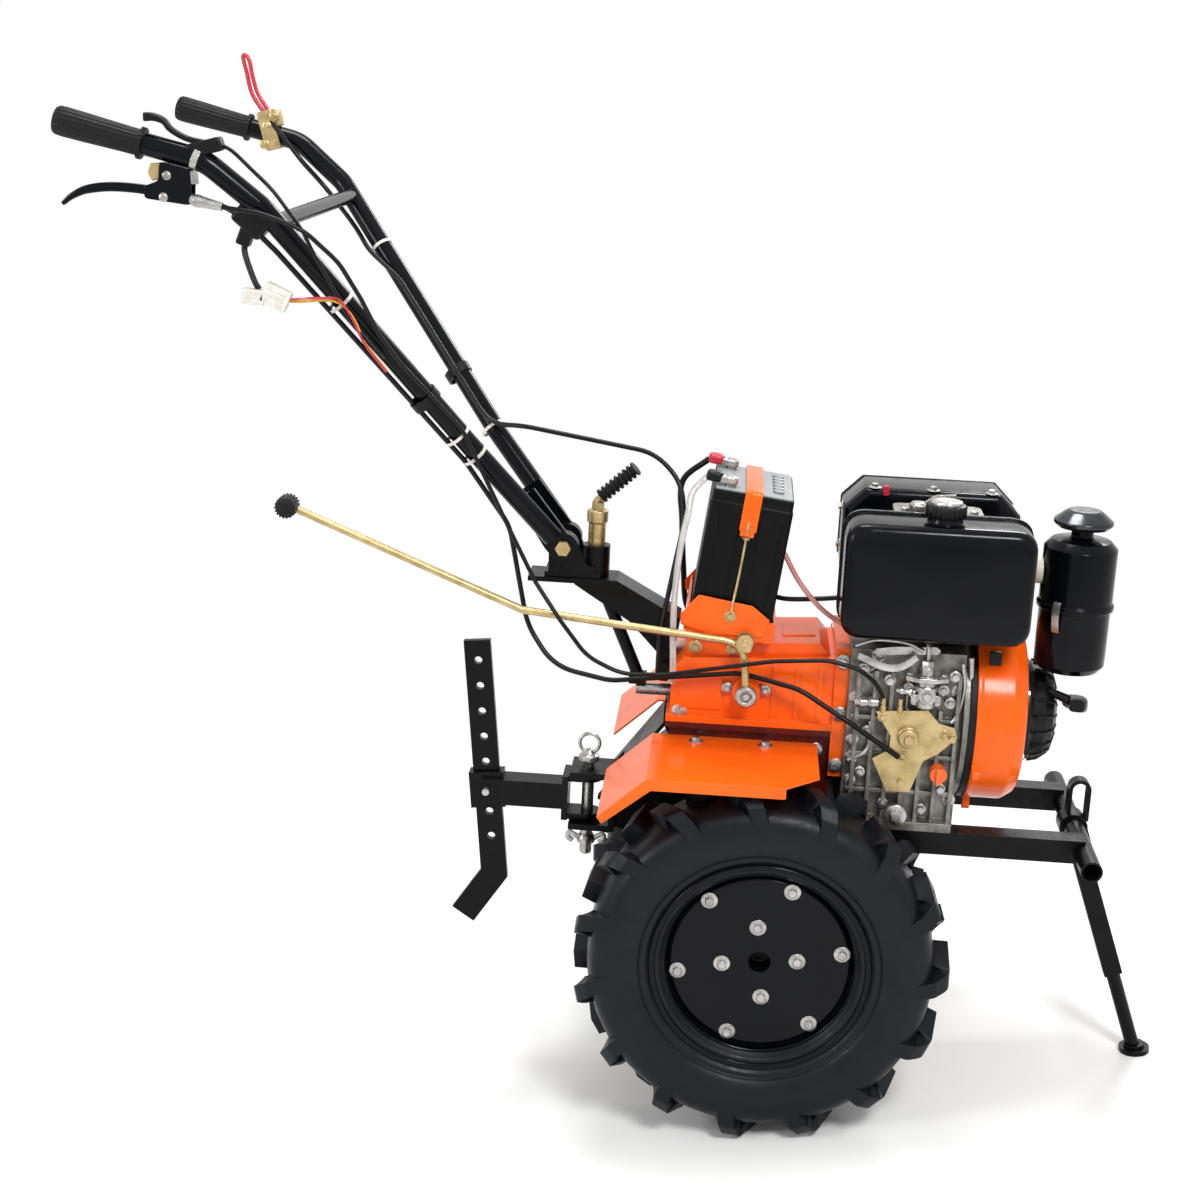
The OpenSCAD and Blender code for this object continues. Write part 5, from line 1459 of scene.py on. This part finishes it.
@dataclass
class Controls:
    """Gear lever with its knob, the handlebar's clamp post and the hitch pin."""

    lever_y: float = -120.0
    lever_r: float = 6.0
    boss: tuple[float, float] = (-46.0, 395.0)
    knob_r: float = 17.5
    post: tuple[float, float] = (-299.0, 545.0)
    sleeve_ribs: float = 8.5
    pin_x: float = -296.0
    ring_r: float = 16.5
    ring_z: float = 256.5

    def gear_shift(self) -> None:
        """Bent plated rod on its boss with a fork, its steel collar, and a fluted knob across its end."""
        y = self.lever_y
        x, z = self.boss
        path = rounded(upright([[x, z], [-54, 480], [-402, 512], [-760, 652]], y), 40, 10)
        shell = Shell().rod(path, self.lever_r, 20)
        shell.lathe([[POLE, 0], [12, 0], [12, 24], [POLE, 24]], [x, y - 6, z], Y, 1, 2, 32)
        fork = outline([[-63, 468], [-44, 468], [-39, 486], [-47, 496], [-60, 495], [-67, 483]], 5)
        for s in SIDES:
            shell.plate(fork, y + s * 9 - 1.5, y + s * 9 + 1.5)
        shell.lathe([[POLE, -14], [5, -14], [5, 14], [POLE, 14]], [-53, y, 483], Y, 1, 2, 20)
        shell.piece("shift_rod", "chassis", [ZINC], ("gear_lever",))
        ring = [[8, 0], [17.5, 0], [17.5, 5], [15, 8], [10, 8], [8, 6]]
        collar = Shell().lathe(ring, [x, y - 5, z], -Y, 1.2, 2, 40, closed=True)
        collar.bolt([x, y - 6, z], -Y, 10)
        for s in SIDES:
            collar.bolt([x + 30 * s, y + 22, z + 3], -Y, 9)
        collar.piece("shift_collar", "chassis", [STEEL])
        knob = stack(fluted(self.knob_r, 2.8, 18), [0.05, 0.6, 0.85, 1, 1, 0.9, 0.7, 0.05],
                     [0, 0, 3, 6, 38, 42, 44, 44], np.array([-776.0, y + 20, 657.5]), -Y, (X, Z))
        Shell().grid(knob).piece("shift_knob", "chassis", [RUBBER], ("gear_knob",), sharp=60)

    def clamp(self) -> None:
        """Clamp post with its collar and nut, and the bent handle with a ribbed sleeve."""
        x, z = self.post
        line = [[POLE, 0], [14, 0], [14, 86], [17, 89], [17, 106], [15, 108], [POLE, 108]]
        shell = Shell().lathe(line, [x, 0, z], Z, 1.5, 2, 40)
        nut = [[0, 104], [11, 104], [11, 120], [9, 123], [0, 123]]
        shell.grid(revolve(nut, [x, 0, z], Z, 6), caps=False)
        a, b = np.array([x - 4, -8.0, z + 123]), np.array([x + 56, -14, z + 179])
        shell.rod(rounded([[x, 0, z + 110], a, b], 8, 6), 5, 18)
        shell.piece("post_and_handle", "chassis", [ZINC], ("clamp_post",))
        count = 121
        t = np.linspace(12, np.linalg.norm(b - a) + 4, count)
        ribs = 10.2 + 2.0 * np.tanh(3 * np.sin(np.linspace(0, 2 * math.pi * self.sleeve_ribs, count)))
        ribs[[0, -1]] = 4
        sleeve = Shell().grid(revolve(np.stack([ribs, t], 1), a, unit(b - a), 28))
        sleeve.piece("clamp_sleeve", "chassis", [RUBBER])

    def hitch(self) -> None:
        """Hitch pin with its collar, pull ring and wing nut."""
        x = self.pin_x
        foot = [x, 0, 0]
        line = [[POLE, 62], [8, 62], [10, 65], [10, 226], [17, 227], [17, 236], [10, 239], [6, 246],
                [POLE, 248]]
        shell = Shell().lathe(line, foot, Z, 1.2, 2, 40)
        ring = upright(circle(self.ring_r, 40) + [x, self.ring_z], 0)
        shell.grid(sweep(ring, circle(3, 12), Y, loop=True), loop=True)
        shell.lathe([[POLE, 82], [15, 82], [15, 90], [12, 97], [POLE, 97]], foot, Z, 1, 2, 32)
        for s in SIDES:
            wing = [[x + s * out, 0, z] for out, z in ((8, 84), (18, 92), (28, 96), (30, 88), (22, 82))]
            shell.grid(sweep(spline(wing, 5), soft_rect(5, 9, 2, 2), Y))
        shell.piece("hitch_pin_set", "chassis", [STEEL], ("hitch_pin",))

    def build(self) -> None:
        """Makes the gear shift, the clamp and the hitch pin."""
        self.gear_shift()
        self.clamp()
        self.hitch()


@dataclass
class Hardware:
    """Bolts on the gearbox, mudguards and tray, as their places on the machine's left."""

    guard: tuple[tuple[float, float, float], ...] = ((-120.0, 112.0, 311.0), (-10.0, 112.0, 311.0))
    case: tuple[tuple[float, float, float], ...] = (
        (103.0, 102.0, 282.0), (103.0, 102.0, 368.0), (103.0, 102.0, 454.0), (70.0, 86.0, 300.0),
        (-150.0, 90.0, 352.0))
    tray: tuple[tuple[float, float, float], ...] = ((-130.0, 82.0, 458.0), (-70.0, 82.0, 458.0))
    flats: float = 12.0
    tray_flats: float = 11.0

    def build(self) -> None:
        """Sets plated bolts where sheet and castings are joined."""
        shell = Shell()
        for s in SIDES:
            for at in self.guard:
                shell.bolt(np.array(at) * [1, s, 1], Z, self.flats)
            for at in self.case:
                shell.bolt(np.array(at) * [1, s, 1], s * Y, self.flats)
            for at in self.tray:
                shell.bolt(np.array(at) * [1, s, 1], s * Y, self.tray_flats, 1)
        shell.piece("case_bolts", "chassis", [STEEL, ZINC])


# Studio


def place_object(name: str, data: bpy.types.ID, axes: Array, at: ArrayLike) -> bpy.types.Object:
    """Links an object that is turned to three axes and stands at a point.

    Args:
        name: Name of the object.
        data: Its camera or lamp.
        axes: Its X, Y and Z directions, as columns.
        at: Its place in metres.

    Returns:
        The object.
    """
    obj = bpy.data.objects.new(name, data)
    world = np.eye(4)
    world[:3, :3] = axes
    world[:3, 3] = at
    obj.matrix_world = Matrix(world.tolist())
    bpy.context.scene.collection.objects.link(obj)
    return obj


@dataclass(frozen=True)
class Lamp:
    """One square soft lamp that faces the machine. Lengths are metres."""

    name: str
    place: tuple[float, float, float]
    size: float
    watts: float
    aim: tuple[float, float, float] = (0.0, 0.0, 0.6)

    def build(self) -> None:
        """Sets the lamp."""
        data = bpy.data.lights.new(self.name, "AREA")
        data.energy = self.watts
        data.size = self.size
        back = unit(np.array(self.place) - np.array(self.aim))
        place_object(self.name, data, np.stack([*square_axes(back), back], 1), self.place)


@dataclass
class Studio:
    """Camera at the photograph's place, soft lamps and a pale floor that fades to white."""

    focal_px: float = 2000.0
    frame_px: float = 1200.0
    sensor: float = 36.0
    yaw: float = -0.06261
    pitch: float = 0.27006
    roll: float = 0.04413
    place: tuple[float, float, float] = (-93.93, -3120.31, 1367.989)
    lamps: tuple[Lamp, ...] = (
        Lamp("key", (1.5, -3.0, 3.4), 1.0, 115.0), Lamp("fill", (-3.2, -2.2, 2.2), 1.0, 44.0),
        Lamp("top", (0.1, 0.4, 4.2), 1.3, 84.0), Lamp("rim", (1.6, 3.2, 2.8), 1.0, 48.0))
    floor_half: float = 9.0
    floor_cells: int = 36
    fade: tuple[float, float] = (0.7, 2.2)
    shade_light: float = 0.55
    white: tuple[float, float, float, float] = (1.0, 1.0, 1.0, 1.0)

    def camera(self) -> None:
        """Camera whose axes come from yaw, pitch and roll, then turn with the parked machine."""
        level = math.cos(self.pitch)
        ahead = np.array([math.sin(self.yaw) * level, math.cos(self.yaw) * level, -math.sin(self.pitch)])
        right = unit(np.cross(ahead, Z))
        up = np.cross(right, ahead)
        c, s = math.cos(self.roll), math.sin(self.roll)
        axes = pitched([c * right + s * up, c * up - s * right, -ahead], NOSE_DOWN)
        data = bpy.data.cameras.new("photo_camera")
        data.sensor_width = self.sensor
        data.lens = self.sensor * self.focal_px / self.frame_px
        data.clip_end = 100
        bpy.context.scene.camera = place_object("photo_camera", data, axes.T, parked(self.place))

    def backdrop(self) -> None:
        """White world for the eye, for reflections and through hoses, and dimmer light for the rest."""
        scene = bpy.context.scene
        scene.view_settings.view_transform = "Standard"
        scene.world = bpy.data.worlds.new("studio")
        scene.world.use_nodes = True
        t = scene.world.node_tree
        t.nodes.clear()
        rays = node(t, "LightPath").outputs
        seen = rays["Is Camera Ray"]
        for kind in ("Is Glossy Ray", "Is Transmission Ray"):
            seen = node(t, "Math", {0: seen, 1: rays[kind]}, operation="MAXIMUM").outputs[0]
        level = node(t, "MapRange", {"Value": seen, "To Min": self.shade_light, "To Max": 1.0})
        light = node(t, "Background", {"Color": self.white, "Strength": level.outputs["Result"]})
        node(t, "OutputWorld", {"Surface": light.outputs["Background"]})

    def floor_paint(self) -> bpy.types.Material:
        """Matt pale paint that fades to plain white away from the machine, for the camera alone.

        Returns:
            The material.
        """
        mat = bpy.data.materials.new("pale_floor")
        mat.use_nodes = True
        t = mat.node_tree
        t.nodes.clear()
        place = node(t, "TexCoord").outputs["Object"]
        away = node(t, "VectorMath", {0: place}, operation="LENGTH").outputs["Value"]
        near, far = self.fade
        fade = node(t, "MapRange", {"Value": away, "From Min": near, "From Max": far},
                    interpolation_type="SMOOTHSTEP").outputs["Result"]
        paint = node(t, "BsdfDiffuse", {"Color": linear("#F6F6F5")}).outputs[0]
        glow = node(t, "Emission", {"Color": self.white, "Strength": 1.0}).outputs[0]
        look = node(t, "LightPath").outputs["Is Camera Ray"]
        part = node(t, "Math", {0: fade, 1: look}, operation="MULTIPLY").outputs[0]
        mixed = node(t, "MixShader", {0: part, 1: paint, 2: glow})
        node(t, "OutputMaterial", {"Surface": mixed.outputs[0]})
        return mat

    def floor(self) -> None:
        """Level floor as an even grid of squares."""
        cells, rows = self.floor_cells, self.floor_cells + 1
        span = np.linspace(-self.floor_half, self.floor_half, rows)
        gx, gy = np.meshgrid(span, span, indexing="ij")
        points = np.stack([gx, gy, np.zeros_like(gx)], -1).reshape(-1, 3)
        i, j = np.meshgrid(np.arange(cells), np.arange(cells), indexing="ij")
        first = i * rows + j
        quads = np.stack([first, first + rows, first + rows + 1, first + 1], -1).reshape(-1, 4)
        mesh = bpy.data.meshes.new("floor")
        mesh.from_pydata(points.tolist(), [], quads.tolist())
        mesh.materials.append(self.floor_paint())
        floor = bpy.data.objects.new("floor", mesh)
        bpy.context.scene.collection.objects.link(floor)

    def build(self) -> None:
        """Sets the camera, the lamps, the world and the floor."""
        self.camera()
        for lamp in self.lamps:
            lamp.build()
        self.backdrop()
        self.floor()


def main() -> None:
    """Builds the studio, the finishes and each sub-assembly in order."""
    logging.basicConfig(level=logging.INFO, format="%(name)s: %(message)s")
    Studio().build()
    CadFinishes().dress()
    wheels = Wheel(-1, "right_wheel"), Wheel(1, "left_wheel")
    handles = Handles()
    for part in (*wheels, handles, Engine(), Battery(), Controls(), Hardware()):
        part.build()
    Cables().build(handles)


if __name__ == "__main__":
    main()
